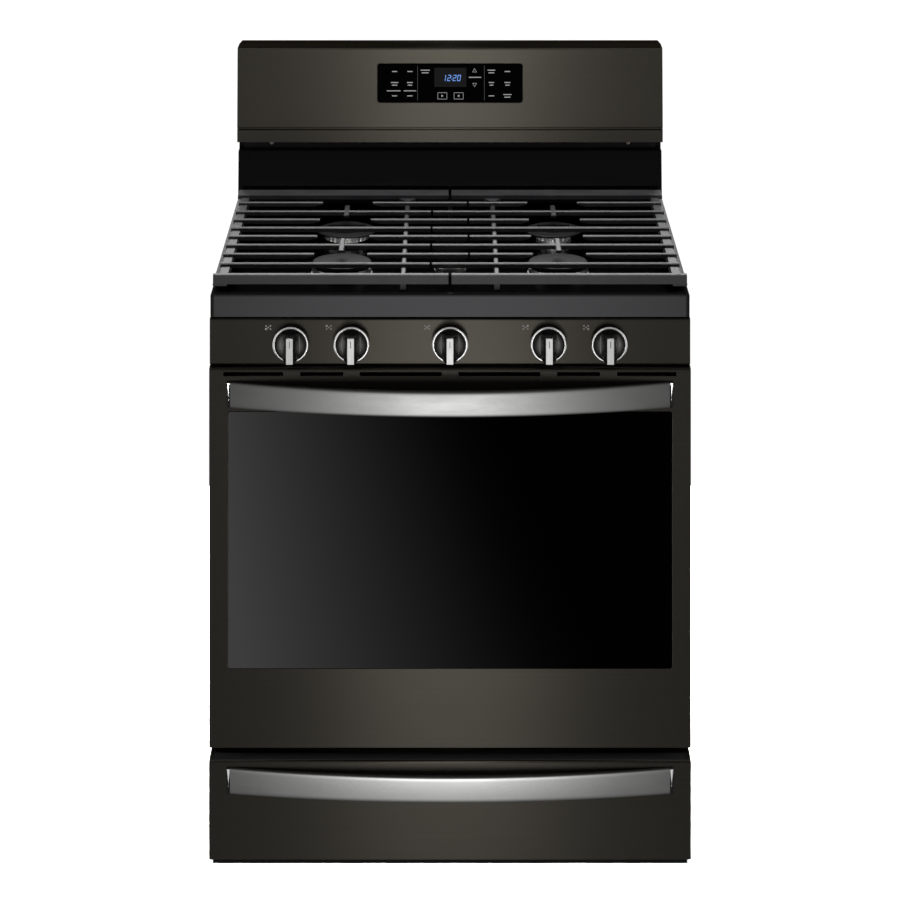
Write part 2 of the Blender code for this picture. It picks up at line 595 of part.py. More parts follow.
def grate(name, side):
    """One cast grate: a frame on feet, and rows of bars that reach in over the burners."""
    split, rail_in, rail_out = 0.0025, 0.3535, 0.3762
    finger_gap, inner_rail, meet, bar_end = 0.0435, 0.0745, 0.031, 0.3688

    def place(x0, x1):
        return sorted((side * x0, side * x1))

    rail = prism(name, "cast_iron",
                 [(side * x, z) for x, z in ((rail_out, 0.9035), (rail_out, 0.9072), (0.3665, 0.9180),
                                             (rail_in, 0.9180), (rail_in, 0.9035))],
                 "Y", GRATE_FRONT + 0.0002, GRATE_BACK - 0.0002)
    parts = [bar("X", *place(split, 0.3758), GRATE_FRONT + 0.0055, 0.9215, 0.0150, 0.0110),
             tool(place(split, 0.3738), (GRATE_BACK - 0.0400, GRATE_BACK), (0.9155, 0.9222)),
             bar("Y", GRATE_FRONT + 0.004, GRATE_BACK - 0.030, side * inner_rail, 0.9170, 0.0120, 0.0076)]
    flare = [(inner_rail - 0.0038, 0.204), (inner_rail + 0.0038, 0.204), (inner_rail + 0.0150, 0.2240),
             (inner_rail - 0.0150, 0.2240)]
    parts.append(prism("tool", "tool", [(side * x, y) for x, y in flare], "Z", 0.9075, 0.9168))
    for row, y in enumerate(GRATE_ROWS, 1):
        reach = -meet if (row % 2 == 1) == (side == -1) else meet
        start = reach + 0.0018
        if row % 2 == 0:
            parts.append(bar("X", *place(start, bar_end), y))
            continue
        left, right = BURNER_X - finger_gap, BURNER_X + finger_gap
        tips = (0.0, 0.014) if side == 1 else (0.014, 0.0)
        parts.append(bar("X", *place(start, left), y, tips=tips))
        parts.append(bar("X", *place(right, bar_end), y, tips=tips[::-1]))
    for low, high in ((0.395, 0.464), (0.170, 0.245)):
        parts.append(bar("Y", DOOR_FACE + low, DOOR_FACE + high, side * BURNER_X, 0.9225, 0.0070, 0.0088,
                         (0.012, 0.012)))
    feet = [tool(place(0.3690, 0.3750), (y - 0.006, y + 0.006), (COOKTOP_RIM + FIT, 0.9060))
            for y in (-0.240, -0.010, 0.230)]
    posts = [tool(place(inner_rail - 0.0046, inner_rail + 0.0046), (y - 0.005, y + 0.005),
                  (WELL_FLOOR + FIT, 0.9160)) for y in (-0.2730, 0.2350)]
    weld(rail, *parts, *feet, *posts)
    pivot(rail, (side * 0.19, 0, COOKTOP_RIM))


# Backguard --------------------------------------------------------------------------------
def backguard_riser():
    """The leaning glossy panel behind the grates, with the oven's vent recess above it."""
    outline = [(0.2865, 0.8613), (0.3015, 0.9830), (0.3225, 0.9830), (0.3225, CONSOLE_BOTTOM - 0.0005),
               (CHASSIS_BACK, CONSOLE_BOTTOM - 0.0005), (CHASSIS_BACK, 0.8613)]
    riser = prism("backguard_riser", "enamel_black", outline, "X", -0.3785, 0.3785)
    ledge = CONSOLE_BOTTOM - 0.0018
    hollow = [(0.2871, 0.8550), (0.3027, 0.9817), (0.3238, 0.9817), (0.3238, ledge), (0.3700, ledge),
              (0.3700, 0.8550)]
    cut(riser, prism("tool", "tool", hollow, "X", -0.3773, 0.3773))


def tilted(outline, depth_in, depth_out):
    """A prism square to the console's leaning face: outline in (x, height above its centre)."""
    piece = prism("tool", "tool", outline, "Y", -depth_out, depth_in)
    slope = math.atan2(CONSOLE_EDGE_Y - CREASE_Y, CONSOLE_EDGE_Z - CREASE_Z)
    y = CREASE_Y + (GLASS_CENTRE_Z - CREASE_Z) * math.tan(slope)
    piece.data.transform(Matrix.Translation((0, y, GLASS_CENTRE_Z)) @ Matrix.Rotation(-slope, 4, "X"))
    return piece


def backguard_shell():
    """The console's folded shell: a lower lip, a groove, a leaning face and a flat top."""
    outline = [(0.2845, CONSOLE_BOTTOM), (0.2838, 1.0235), (0.2872, 1.0245), (0.2872, 1.0268),
               (CREASE_Y, CREASE_Z), (CONSOLE_EDGE_Y, CONSOLE_EDGE_Z), (0.2950, HEIGHT),
               (BACK, HEIGHT), (BACK, CONSOLE_BOTTOM)]
    shell = prism("backguard_shell", "black_stainless", outline, "X", -HALF, HALF)
    floor = CONSOLE_BOTTOM + 0.0013
    hollow = [(0.2862, floor), (0.2855, 1.0222), (0.2888, 1.0235), (0.2888, 1.0280), (0.2852, 1.0300),
              (0.2940, 1.1650), (0.2955, 1.1667), (0.3800, 1.1667), (0.3800, CONSOLE_BOTTOM - 0.004),
              (0.3640, CONSOLE_BOTTOM - 0.004), (0.3640, floor)]
    wide = tool((-0.3780, 0.3780), (0.2970, 0.3280), (CONSOLE_BOTTOM + 0.0020, 1.1660))
    corners = [prism("tool", "tool", [(side * 0.3800, 0.3300), (side * 0.3760, 0.3690),
                                      (side * 0.3850, 0.3690), (side * 0.3850, 0.3300)], "Z", 0.99, 1.18)
               for side in (-1, 1)]
    cut_out = tilted(rounded((-0.1298, 0.1298), (-0.0348, 0.0348), 0.0048), 0.02, 0.02)
    cut(shell, prism("tool", "tool", hollow, "X", -0.3738, 0.3738), wide, *corners, cut_out)


def console_glass():
    glass = tilted(rounded((-0.1295, 0.1295), (-0.0345, 0.0345), 0.0045), 0.0030, 0.0)
    glass.name = "console_glass"
    glass.data.materials[0] = finish("glass_black")


def clock_display():
    display = tilted([(-0.030, -0.010), (0.032, -0.010), (0.032, 0.029), (-0.030, 0.029)],
                     0.0095, -0.0030 - FIT)
    display.name = "clock_display"
    display.data.materials[0] = finish("display")


def main():
    for thing in list(bpy.data.objects):
        bpy.data.objects.remove(thing)
    side_panel("side_panel_left", -1)
    side_panel("side_panel_right", 1)
    rear_panel()
    base_frame()
    levelling_feet()
    gas_inlet()
    front_frame()
    oven_cavity()
    oven_floor()
    oven_burners()
    convection_fan()
    fan_cover()
    oven_rack("oven_rack_upper", RACK_LEVELS[3])
    oven_rack("oven_rack_lower", RACK_LEVELS[0])
    door_skin()
    door_glass()
    door_inner_panel()
    door_inner_glass()
    door_gasket()
    door_handle = bowed_bar("door_handle", DOOR_FACE, DOOR_HANDLE_BOW, DOOR_HANDLE_BOTTOM)
    pivot(door_handle, (0, HINGE_Y, HINGE_Z))
    door_hinge("door_hinge_left", -1)
    door_hinge("door_hinge_right", 1)
    drawer_front()
    drawer_box()
    bowed_bar("drawer_handle", DRAWER_FACE, DRAWER_HANDLE_BOW, DRAWER_HANDLE_BOTTOM)
    drawer_rail("drawer_rail_left", -1)
    drawer_rail("drawer_rail_right", 1)
    control_panel()
    gas_manifold()
    for number, x in enumerate(KNOB_X, 1):
        valve_stem(number, x)
        knob(number, x)
    cooktop()
    for spot in burner_spots():
        round_burner(*spot)
    oval_burner()
    grate("grate_left", -1)
    grate("grate_right", 1)
    backguard_riser()
    backguard_shell()
    console_glass()
    clock_display()


main()
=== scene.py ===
"""The looks of the freestanding gas range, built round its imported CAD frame.

Metres, in the frame's own axes: +Z up, the front of the range towards -Y.
"""
import math

import bmesh
import bpy
from mathutils import Matrix, Vector


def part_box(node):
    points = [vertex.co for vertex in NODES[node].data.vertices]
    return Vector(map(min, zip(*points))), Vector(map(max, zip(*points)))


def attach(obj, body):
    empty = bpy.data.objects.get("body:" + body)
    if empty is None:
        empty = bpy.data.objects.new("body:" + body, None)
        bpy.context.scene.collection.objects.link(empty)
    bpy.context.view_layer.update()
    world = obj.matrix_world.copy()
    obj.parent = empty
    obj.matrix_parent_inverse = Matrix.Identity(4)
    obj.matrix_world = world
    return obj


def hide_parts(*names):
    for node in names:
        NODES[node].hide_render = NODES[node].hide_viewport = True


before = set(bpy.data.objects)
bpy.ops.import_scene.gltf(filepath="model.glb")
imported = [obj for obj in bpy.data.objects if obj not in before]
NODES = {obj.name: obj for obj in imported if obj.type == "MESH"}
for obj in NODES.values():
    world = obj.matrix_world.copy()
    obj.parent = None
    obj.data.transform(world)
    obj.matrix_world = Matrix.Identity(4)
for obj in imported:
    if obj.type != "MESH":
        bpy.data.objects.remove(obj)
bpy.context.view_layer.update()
SCENE = bpy.context.scene
CAPS = ("front_left", "front_right", "rear_left", "rear_right", "centre")

DOOR_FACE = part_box("door_skin")[0].y
DRAWER_LOW, DRAWER_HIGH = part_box("drawer_front")
PANEL_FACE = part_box("control_panel")[0].y
RISER_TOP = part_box("backguard_riser")[1].z
TOP_LOW, TOP_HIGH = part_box("cooktop")
REAR_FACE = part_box("rear_panel")[1].y


def centre_of(node):
    low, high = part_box(node)
    return (low + high) / 2


KNOBS = [centre_of(f"knob_{k}") for k in range(1, 6)]


# Materials -----------------------------------------------------------
class Finish:
    """A Principled material and the few nodes that vary it over the surface."""

    def __init__(self, name, colour, metallic=0.0, roughness=0.5, **sockets):
        self.material = bpy.data.materials.new(name)
        self.material.use_nodes = True
        self.nodes = self.material.node_tree.nodes
        self.links = self.material.node_tree.links
        self.shader = self.nodes["Principled BSDF"]
        values = {"Base Color": (*colour, 1.0), "Metallic": metallic, "Roughness": roughness}
        values.update(sockets)
        for key, value in values.items():
            self.shader.inputs[key].default_value = value
        self.place = None

    def spot(self):
        """The place of the shaded point in object space."""
        if self.place is None:
            self.place = self.nodes.new("ShaderNodeTexCoord")
        return self.place.outputs["Object"]

    def split(self):
        """The X, Y and Z of that place."""
        node = self.nodes.new("ShaderNodeSeparateXYZ")
        self.links.new(self.spot(), node.inputs["Vector"])
        return node.outputs

    def maths(self, operation, *values):
        """A Math node on numbers or other nodes' outputs."""
        node = self.nodes.new("ShaderNodeMath")
        node.operation = operation
        for socket, value in zip(node.inputs, values):
            if isinstance(value, (int, float)):
                socket.default_value = value
            else:
                self.links.new(value, socket)
        return node.outputs["Value"]

    def noise(self, scale, detail=3.0, rough=0.55, kind="NOISE"):
        """A pattern in object space; scale is its cells per metre, one number or one for each axis."""
        mapping = self.nodes.new("ShaderNodeMapping")
        mapping.inputs["Scale"].default_value = (scale,) * 3 if isinstance(scale, float) else scale
        self.links.new(self.spot(), mapping.inputs["Vector"])
        if kind == "VORONOI":
            texture = self.nodes.new("ShaderNodeTexVoronoi")
            texture.inputs["Scale"].default_value = 1.0
            self.links.new(mapping.outputs["Vector"], texture.inputs["Vector"])
            return texture.outputs["Distance"]
        texture = self.nodes.new("ShaderNodeTexNoise")
        texture.inputs["Scale"].default_value = 1.0
        texture.inputs["Detail"].default_value = detail
        texture.inputs["Roughness"].default_value = rough
        self.links.new(mapping.outputs["Vector"], texture.inputs["Vector"])
        return texture.outputs["Fac"]

    def ramp(self, value, low, high, start=0.3, end=0.7):
        """Map a pattern to a number or a colour between low and high."""
        node = self.nodes.new("ShaderNodeMapRange")
        node.inputs["From Min"].default_value = start
        node.inputs["From Max"].default_value = end
        self.links.new(value, node.inputs["Value"])
        if isinstance(low, tuple):
            node.clamp = True
            mix = self.nodes.new("ShaderNodeMix")
            mix.data_type = "RGBA"
            mix.inputs["A"].default_value = (*low, 1.0)
            mix.inputs["B"].default_value = (*high, 1.0)
            self.links.new(node.outputs["Result"], mix.inputs["Factor"])
            return mix.outputs["Result"]
        node.inputs["To Min"].default_value = low
        node.inputs["To Max"].default_value = high
        return node.outputs["Result"]

    def vary(self, socket, value, low, high, start=0.3, end=0.7):
        self.links.new(self.ramp(value, low, high, start, end), self.shader.inputs[socket])
        return self

    def bump(self, value, depth, strength=1.0):
        node = self.nodes.new("ShaderNodeBump")
        node.inputs["Distance"].default_value = depth
        node.inputs["Strength"].default_value = strength
        self.links.new(value, node.inputs["Height"])
        self.links.new(node.outputs["Normal"], self.shader.inputs["Normal"])
        return self

    def brushed(self):
        """Lay the grain level round the object, which spreads its highlights up and down."""
        self.shader.inputs["Anisotropic Rotation"].default_value = 0.25
        tangent = self.nodes.new("ShaderNodeTangent")
        tangent.direction_type = "RADIAL"
        tangent.axis = "Z"
        self.links.new(tangent.outputs["Tangent"], self.shader.inputs["Tangent"])
        return self


def black_stainless():
    look = Finish("black_stainless", (0.082, 0.075, 0.062), 1.0, 0.38,
                  **{"Anisotropic": 0.9, "Specular Tint": (0.50, 0.46, 0.38, 1.0)})
    fine = look.noise((6.0, 2600.0, 2600.0), 2.0)
    cloud = look.noise((2.0, 3.0, 3.0), 2.0)
    look.vary("Base Color", fine, (0.076, 0.070, 0.058), (0.088, 0.081, 0.067))
    look.vary("Roughness", cloud, 0.375, 0.395)
    return look.bump(fine, 0.000006, 0.3).brushed().material


def satin_handle():
    look = Finish("satin_handle", (0.34, 0.34, 0.335), 1.0, 0.50)
    fine = look.noise((8.0, 2400.0, 2400.0), 3.0)
    look.vary("Base Color", fine, (0.31, 0.31, 0.305), (0.37, 0.37, 0.365))
    look.vary("Roughness", look.noise((12.0, 60.0, 60.0)), 0.48, 0.52)
    return look.bump(fine, 0.00001, 0.3).material


def bright_ring():
    """The thin bright ring round each knob."""
    look = Finish("bright_ring", (0.80, 0.80, 0.79), 1.0, 0.32)
    look.vary("Roughness", look.noise(300.0), 0.30, 0.34)
    return look.material


def polished_steel():
    look = Finish("polished_steel", (0.78, 0.78, 0.77), 1.0, 0.10)
    look.vary("Roughness", look.noise(90.0), 0.07, 0.14)
    return look.material


def black_glass():
    look = Finish("black_glass", (0.006, 0.0055, 0.006), 0.0, 0.03)
    look.vary("Roughness", look.noise(6.0), 0.02, 0.045)
    return look.material


def gloss_enamel():
    look = Finish("gloss_enamel", (0.008, 0.008, 0.0085), 0.0, 0.07)
    look.vary("Roughness", look.noise(14.0), 0.05, 0.10)
    return look.bump(look.noise(260.0, 1.0), 0.00004, 0.10).material


def spun_dark():
    """The knob's dished face: dark metal."""
    look = Finish("spun_dark", (0.26, 0.255, 0.245), 1.0, 0.42)
    look.vary("Roughness", look.noise(500.0), 0.40, 0.44)
    return look.material


def satin_bar():
    """The pale satin bar along the knob's grip."""
    look = Finish("satin_bar", (0.80, 0.80, 0.79), 1.0, 0.45)
    look.vary("Roughness", look.noise((1200.0, 1200.0, 60.0)), 0.42, 0.48)
    return look.material


def satin_black(name="satin_black", grey=0.012, roughness=0.42, **sockets):
    look = Finish(name, (grey, grey, grey * 1.03), 0.0, roughness, **sockets)
    look.vary("Roughness", look.noise(60.0), roughness - 0.04, roughness + 0.05)
    return look.bump(look.noise(1800.0, 2.0), 0.00003, 0.15).material


WELL_HALF_WIDTH, WELL_HALF_DEPTH = 0.3682, 0.2847
WELL_SHIFT = 0.002               # how far the well's middle lies behind the cooktop's
RIM_SKIN = 0.0004                # the top of the rim that still counts as outside


def cooktop_enamel():
    """Dark satin metallic enamel outside, smoother black in the sunken well."""
    look = Finish("cooktop_enamel", (0.045, 0.046, 0.050), 0.0, 0.30, **{"Specular IOR Level": 0.04})
    grain = look.noise(900.0, 2.0)
    x, y, z = look.split()
    middle = (TOP_LOW.y + TOP_HIGH.y) / 2 + WELL_SHIFT
    across = look.maths("LESS_THAN", look.maths("ABSOLUTE", x), WELL_HALF_WIDTH)
    along = look.maths("LESS_THAN", look.maths("ABSOLUTE", look.maths("SUBTRACT", y, middle)),
                       WELL_HALF_DEPTH)
    under = look.maths("LESS_THAN", z, TOP_HIGH.z - RIM_SKIN)
    inside = look.maths("MULTIPLY", look.maths("MULTIPLY", across, along), under)
    look.vary("Base Color", inside, (0.10, 0.10, 0.104), (0.002, 0.002, 0.002), 0.0, 1.0)
    look.vary("Roughness", inside, 0.55, 0.32, 0.0, 1.0)
    look.vary("Metallic", inside, 1.0, 0.0, 0.0, 1.0)
    return look.bump(grain, 0.00002, 0.12).material


def cast_iron():
    look = Finish("cast_iron", (0.030, 0.030, 0.032), 0.0, 0.48)
    grain = look.noise(1100.0, 4.0, 0.65)
    look.vary("Base Color", look.noise(25.0), (0.024, 0.024, 0.026), (0.040, 0.040, 0.042))
    look.vary("Roughness", grain, 0.38, 0.56)
    return look.bump(grain, 0.00012, 0.35).material


def cast_aluminium():
    look = Finish("cast_aluminium", (0.48, 0.48, 0.475), 1.0, 0.42)
    grain = look.noise(1500.0, 3.0)
    look.vary("Base Color", look.noise(40.0), (0.42, 0.42, 0.41), (0.54, 0.54, 0.53))
    look.vary("Roughness", grain, 0.36, 0.50)
    return look.bump(grain, 0.00006, 0.3).material


def zinc_sheet():
    look = Finish("zinc_sheet", (0.50, 0.51, 0.52), 1.0, 0.40)
    spangle = look.noise(110.0, kind="VORONOI")
    look.vary("Base Color", spangle, (0.40, 0.41, 0.43), (0.58, 0.59, 0.60), 0.0, 0.9)
    look.vary("Roughness", spangle, 0.32, 0.48, 0.0, 0.9)
    return look.material


def side_paint():
    look = Finish("side_paint", (0.022, 0.022, 0.023), 0.0, 0.40)
    peel = look.noise(420.0, 2.0)
    look.vary("Base Color", look.noise(9.0), (0.020, 0.020, 0.021), (0.026, 0.026, 0.027))
    look.vary("Roughness", peel, 0.34, 0.46)
    return look.bump(peel, 0.00008, 0.25).material


def speckled_enamel():
    look = Finish("speckled_enamel", (0.026, 0.030, 0.042), 0.0, 0.18)
    speck = look.noise(420.0, kind="VORONOI")
    look.vary("Base Color", speck, (0.34, 0.36, 0.42), (0.022, 0.026, 0.038), 0.10, 0.20)
    look.vary("Roughness", look.noise(30.0), 0.14, 0.24)
    return look.bump(look.noise(300.0, 1.0), 0.00005, 0.15).material


def bright_wire():
    look = Finish("bright_wire", (0.62, 0.62, 0.61), 1.0, 0.20)
    look.vary("Base Color", look.noise(20.0), (0.52, 0.51, 0.48), (0.68, 0.68, 0.68))
    look.vary("Roughness", look.noise(200.0), 0.14, 0.28)
    return look.material


def tinted_tube():
    look = Finish("tinted_tube", (0.36, 0.33, 0.29), 1.0, 0.38)
    look.vary("Base Color", look.noise((16.0, 10.0, 16.0)), (0.24, 0.19, 0.15), (0.46, 0.45, 0.44))
    look.vary("Roughness", look.noise((200.0, 60.0, 200.0)), 0.30, 0.46)
    return look.material


def brass():
    look = Finish("machined_brass", (0.62, 0.45, 0.20), 1.0, 0.30)
    look.vary("Base Color", look.noise(70.0), (0.52, 0.37, 0.15), (0.70, 0.52, 0.25))
    look.vary("Roughness", look.noise(300.0), 0.24, 0.38)
    return look.material


def woven_fibre():
    look = Finish("woven_fibre", (0.11, 0.11, 0.115), 0.0, 0.9, **{"Sheen Weight": 0.3})
    weave = look.noise(700.0, kind="VORONOI")
    look.vary("Base Color", weave, (0.16, 0.16, 0.165), (0.05, 0.05, 0.052), 0.1, 0.7)
    return look.bump(weave, 0.0004, 0.7).material


def wool():
    look = Finish("mineral_wool", (0.55, 0.50, 0.36), 0.0, 0.95)
    tuft = look.noise((120.0, 40.0, 120.0), 6.0, 0.7)
    look.vary("Base Color", tuft, (0.42, 0.37, 0.24), (0.66, 0.62, 0.48))
    return look.bump(tuft, 0.003, 0.8).material


def light_ink():
    look = Finish("light_ink", (0.46, 0.46, 0.45), 0.0, 0.5)
    look.vary("Base Color", look.noise(900.0), (0.42, 0.42, 0.41), (0.50, 0.50, 0.49))
    return look.material


def lit_legend():
    """White print with a little of its own light, as behind a lit console."""
    look = Finish("lit_legend", (0.46, 0.46, 0.45), 0.0, 0.5)
    look.shader.inputs["Emission Color"].default_value = (1.0, 1.0, 1.0, 1.0)
    look.shader.inputs["Emission Strength"].default_value = 0.10
    look.vary("Base Color", look.noise(900.0), (0.43, 0.43, 0.42), (0.49, 0.49, 0.48))
    return look.material


def lit_digits():
    look = Finish("lit_digits", (0.03, 0.06, 0.18), 0.0, 0.4)
    look.shader.inputs["Emission Color"].default_value = (0.20, 0.42, 1.0, 1.0)
    look.shader.inputs["Emission Strength"].default_value = 1.1
    look.vary("Base Color", look.noise(900.0), (0.02, 0.05, 0.16), (0.04, 0.08, 0.20))
    return look.material


def ceramic():
    look = Finish("ceramic", (0.78, 0.76, 0.72), 0.0, 0.30)
    look.vary("Base Color", look.noise(300.0), (0.72, 0.70, 0.66), (0.82, 0.80, 0.76))
    return look.material


MAT = {"stainless": black_stainless(), "handle": satin_handle(), "polished": polished_steel(),
       "glass": black_glass(), "gloss": gloss_enamel(), "satin": satin_black(), "top": cooktop_enamel(),
       "iron": cast_iron(), "aluminium": cast_aluminium(), "zinc": zinc_sheet(), "paint": side_paint(),
       "oven": speckled_enamel(), "wire": bright_wire(), "tube": tinted_tube(), "brass": brass(),
       "fibre": woven_fibre(), "wool": wool(), "ink": light_ink(), "digits": lit_digits(),
       "ceramic": ceramic(), "dish": spun_dark(), "bar": satin_bar(), "ring": bright_ring(),
       "cap": satin_black("cap_enamel", 0.010, 0.50, **{"Specular IOR Level": 0.07}),
       "legend": lit_legend(),
       "window": satin_black("clock_window", 0.011, 0.45, **{"Specular IOR Level": 0.15}),
       "rule": satin_black("console_rule", 0.10, 0.5),
       "pane": satin_black("console_pane", 0.002, 0.14, **{"Specular IOR Level": 0.12}),
       "skirt": satin_black("knob_skirt", 0.016, 0.28), "plastic": satin_black("foot_plastic", 0.020, 0.55)}


# Mesh helpers --------------------------------------------------------
class Shape:
    """Collects closed solids in one mesh."""

    def __init__(self):
        self.bm = bmesh.new()

    def loft(self, rings, closed=False):
        """Skin a list of vertex rings; open ends are capped."""
        made = [[self.bm.verts.new(p) for p in ring] for ring in rings]
        pairs = list(zip(made, made[1:] + made[:1])) if closed else list(zip(made, made[1:]))
        for low, high in pairs:
            steps = max(len(low), len(high))
            for i in range(steps):
                j = (i + 1) % steps
                corners = [low[i % len(low)], low[j % len(low)], high[j % len(high)], high[i % len(high)]]
                self.bm.faces.new(list(dict.fromkeys(corners)))
        if not closed:
            for ring in (made[0][::-1], made[-1]):
                if len(ring) > 2:
                    self.bm.faces.new(ring)
        return self

    def prism(self, outline, axis, low, high):
        place = {"X": lambda a, b, c: (c, a, b), "Y": lambda a, b, c: (a, c, b),
                 "Z": lambda a, b, c: (a, b, c)}[axis]
        return self.loft([[place(a, b, c) for a, b in outline] for c in (low, high)])

    def box(self, x, y, z):
        return self.prism([(x[0], y[0]), (x[1], y[0]), (x[1], y[1]), (x[0], y[1])], "Z", *z)

    def turned(self, profile, centre, axis="Z", steps=48):
        rings = []
        for radius, height in profile:
            ring = []
            for i in range(steps if radius > 1e-6 else 1):
                turn = 2 * math.pi * i / steps
                a, b = radius * math.cos(turn), radius * math.sin(turn)
                spot = {"Z": (a, b, height), "Y": (a, height, b), "X": (height, a, b)}[axis]
                ring.append(Vector(spot) + Vector(centre))
            rings.append(ring)
        return self.loft(rings)

    def tube(self, points, radius, steps=8):
        """A round bar through the points, with flat ends."""
        points = [Vector(p) for p in points]
        rings = []
        side = None
        for i, p in enumerate(points):
            ahead = points[min(i + 1, len(points) - 1)] - points[max(i - 1, 0)]
            ahead.normalize()
            if side is None:
                side = ahead.orthogonal().normalized()
            side = (side - ahead * side.dot(ahead)).normalized()
            up = ahead.cross(side)
            rings.append([p + radius * (side * math.cos(t) + up * math.sin(t))
                          for t in (2 * math.pi * k / steps for k in range(steps))])
        return self.loft(rings)

    def move(self, matrix):
        bmesh.ops.transform(self.bm, matrix=matrix, verts=self.bm.verts)
        return self

    def made(self, name, material, body, stands_for=(), bevel=0.0, segments=2, angle=35, slot=None):
        """Finish the mesh as a piece of the visual model that rides on a body."""
        bmesh.ops.recalc_face_normals(self.bm, faces=self.bm.faces)
        mesh = bpy.data.meshes.new(name)
        self.bm.to_mesh(mesh)
        self.bm.free()
        mesh.materials.append(MAT[material])
        mesh.shade_smooth()
        mesh.set_sharp_from_angle(angle=math.radians(angle))
        piece = bpy.data.objects.new(name, mesh)
        SCENE.collection.objects.link(piece)
        if bevel:
            round_edges(piece, bevel, segments)
        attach(piece, body)
        if stands_for:
            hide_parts(*stands_for)
        return piece


def round_edges(piece, width, segments=2, angle=30):
    step = piece.modifiers.new("round_edges", "BEVEL")
    step.width = width
    step.segments = segments
    step.limit_method = "ANGLE"
    step.angle_limit = math.radians(angle)
    step.harden_normals = True


def dress(node, material, bevel=0.0, segments=2):
    """Give a CAD node its finish, and round its edges where they catch the light."""
    thing = NODES[node]
    thing.data.materials.clear()
    thing.data.materials.append(MAT[material])
    if bevel:
        seam = thing.modifiers.new("close_seams", "WELD")
        seam.merge_threshold = 0.00002
        flat = thing.modifiers.new("whole_faces", "DECIMATE")
        flat.decimate_type = "DISSOLVE"
        flat.angle_limit = math.radians(0.5)
        round_edges(thing, bevel, segments)
    return thing


def rounded(a, b, radius, steps=5):
    corners = ((a[1] - radius, b[0] + radius, -90), (a[1] - radius, b[1] - radius, 0),
               (a[0] + radius, b[1] - radius, 90), (a[0] + radius, b[0] + radius, 180))
    points = []
    for centre_a, centre_b, start in corners:
        for i in range(steps + 1):
            turn = math.radians(start + 90 * i / steps)
            points.append((centre_a + radius * math.cos(turn), centre_b + radius * math.sin(turn)))
    return points


# CAD nodes that keep their shape -------------------------------------
DRESSING = (
    ("door_skin drawer_front control_panel", "stainless", 0.0007, 2),
    ("backguard_shell", "stainless", 0.0012, 3),
    ("door_glass door_inner_glass", "glass", 0.0005, 2),
    ("console_glass", "pane", 0.0005, 2),
    ("backguard_riser", "gloss", 0.0012, 3),
    ("front_frame", "gloss", 0.0006, 2),
    ("cooktop", "top", 0.0012, 3),
    ("grate_left grate_right", "iron", 0.0007, 2),
    ("side_panel_left side_panel_right", "paint", 0.0004, 2),
    ("base_frame", "plastic", 0.0003, 2),
    ("rear_panel drawer_box drawer_rail_left drawer_rail_right", "zinc", 0.0003, 2),
    ("gas_manifold convection_fan door_hinge_left door_hinge_right", "zinc", 0.0003, 2),
    ("oven_cavity oven_floor fan_cover door_inner_panel", "oven", 0.0004, 2),
    ("bake_burner broil_burner", "tube", 0.0004, 2),
    ("gas_inlet", "brass", 0.0010, 2),
    ("valve_stem_1 valve_stem_2 valve_stem_3 valve_stem_4 valve_stem_5", "brass", 0.0004, 2),
    ("clock_display", "satin", 0.0004, 2))


def dress_cad_nodes():
    for nodes, finish, bevel, segments in DRESSING:
        for node in nodes.split():
            dress(node, finish, bevel, segments)


# Handles -------------------------------------------------------------
END_RETURN = 0.0055


def pull_section(x, half, face, end_gap, bow, bottom, top):
    """One cross section of a bowed pull: flat back, softly crowned front, round edges."""
    share = x / half
    rise = 1 - share * share
    front = face - end_gap - bow * rise
    back = face - 0.0003 - (bow - 0.0045) * rise
    middle, reach = (bottom + top) / 2, (top - bottom) / 2
    ring = []
    for i in range(28):
        turn = 2 * math.pi * i / 28
        c, s = math.cos(turn), math.sin(turn)
        across = math.copysign(abs(c) ** 0.42, c)
        along = math.copysign(abs(s) ** 0.28, s)
        y = (front + back) / 2 - (back - front) / 2 * across
        ring.append((x, y, middle + reach * along))
    return ring


def bowed_pull(name, node, body, face):
    low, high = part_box(node)
    half = high.x
    end_gap = 0.008
    bow = face - end_gap - low.y
    inner = half - END_RETURN
    count = 72
    bar = Shape()
    bar.loft([pull_section(-inner + 2 * inner * i / count, half, face, end_gap, bow, low.z, high.z)
              for i in range(count + 1)])
    bar.made(name, "handle", body, (node,), angle=50, slot="handle_steel")
    # Painted shade and highlight: each end is black, and a pale wedge laid on it stands for the end's glint,
    # lit by its own lamp.
    ends, glints = Shape(), Shape()
    middle = face - 0.004
    for side in (-1, 1):
        ends.loft([pull_section(side * (inner + 0.0002 + (END_RETURN - 0.0002) * i / 3), half, face,
                                end_gap, bow, low.z, high.z) for i in range(4)])
        outer, inward, top = side * (half - 0.0006), side * (inner + 0.0004), high.z - 0.0010
        tip = side * (half - 0.0030)
        foot = low.z + (high.z - low.z) * 0.30
        back, front = middle + 0.001, face - end_gap - 0.0008
        glints.loft([[(outer, y, top), (inward, y, top), (tip + side * 0.0004, y, foot),
                      (tip - side * 0.0004, y, foot)] for y in (back, front)])
    ends.made(name + "_ends", "skirt", body, angle=50, slot="handle_steel")
    glints.made(name + "_glints", "bar", body, slot="handle_steel")


# Place and size of the black strip under the drawer: painted shadow, a dark sheet where the floor lies in
# shade.
SHADOW_STRIP_HALF, SHADOW_STRIP_FRONT, SHADOW_STRIP_LOW, SHADOW_STRIP_HIGH = 0.3735, -0.3062, 0.0006, 0.0090


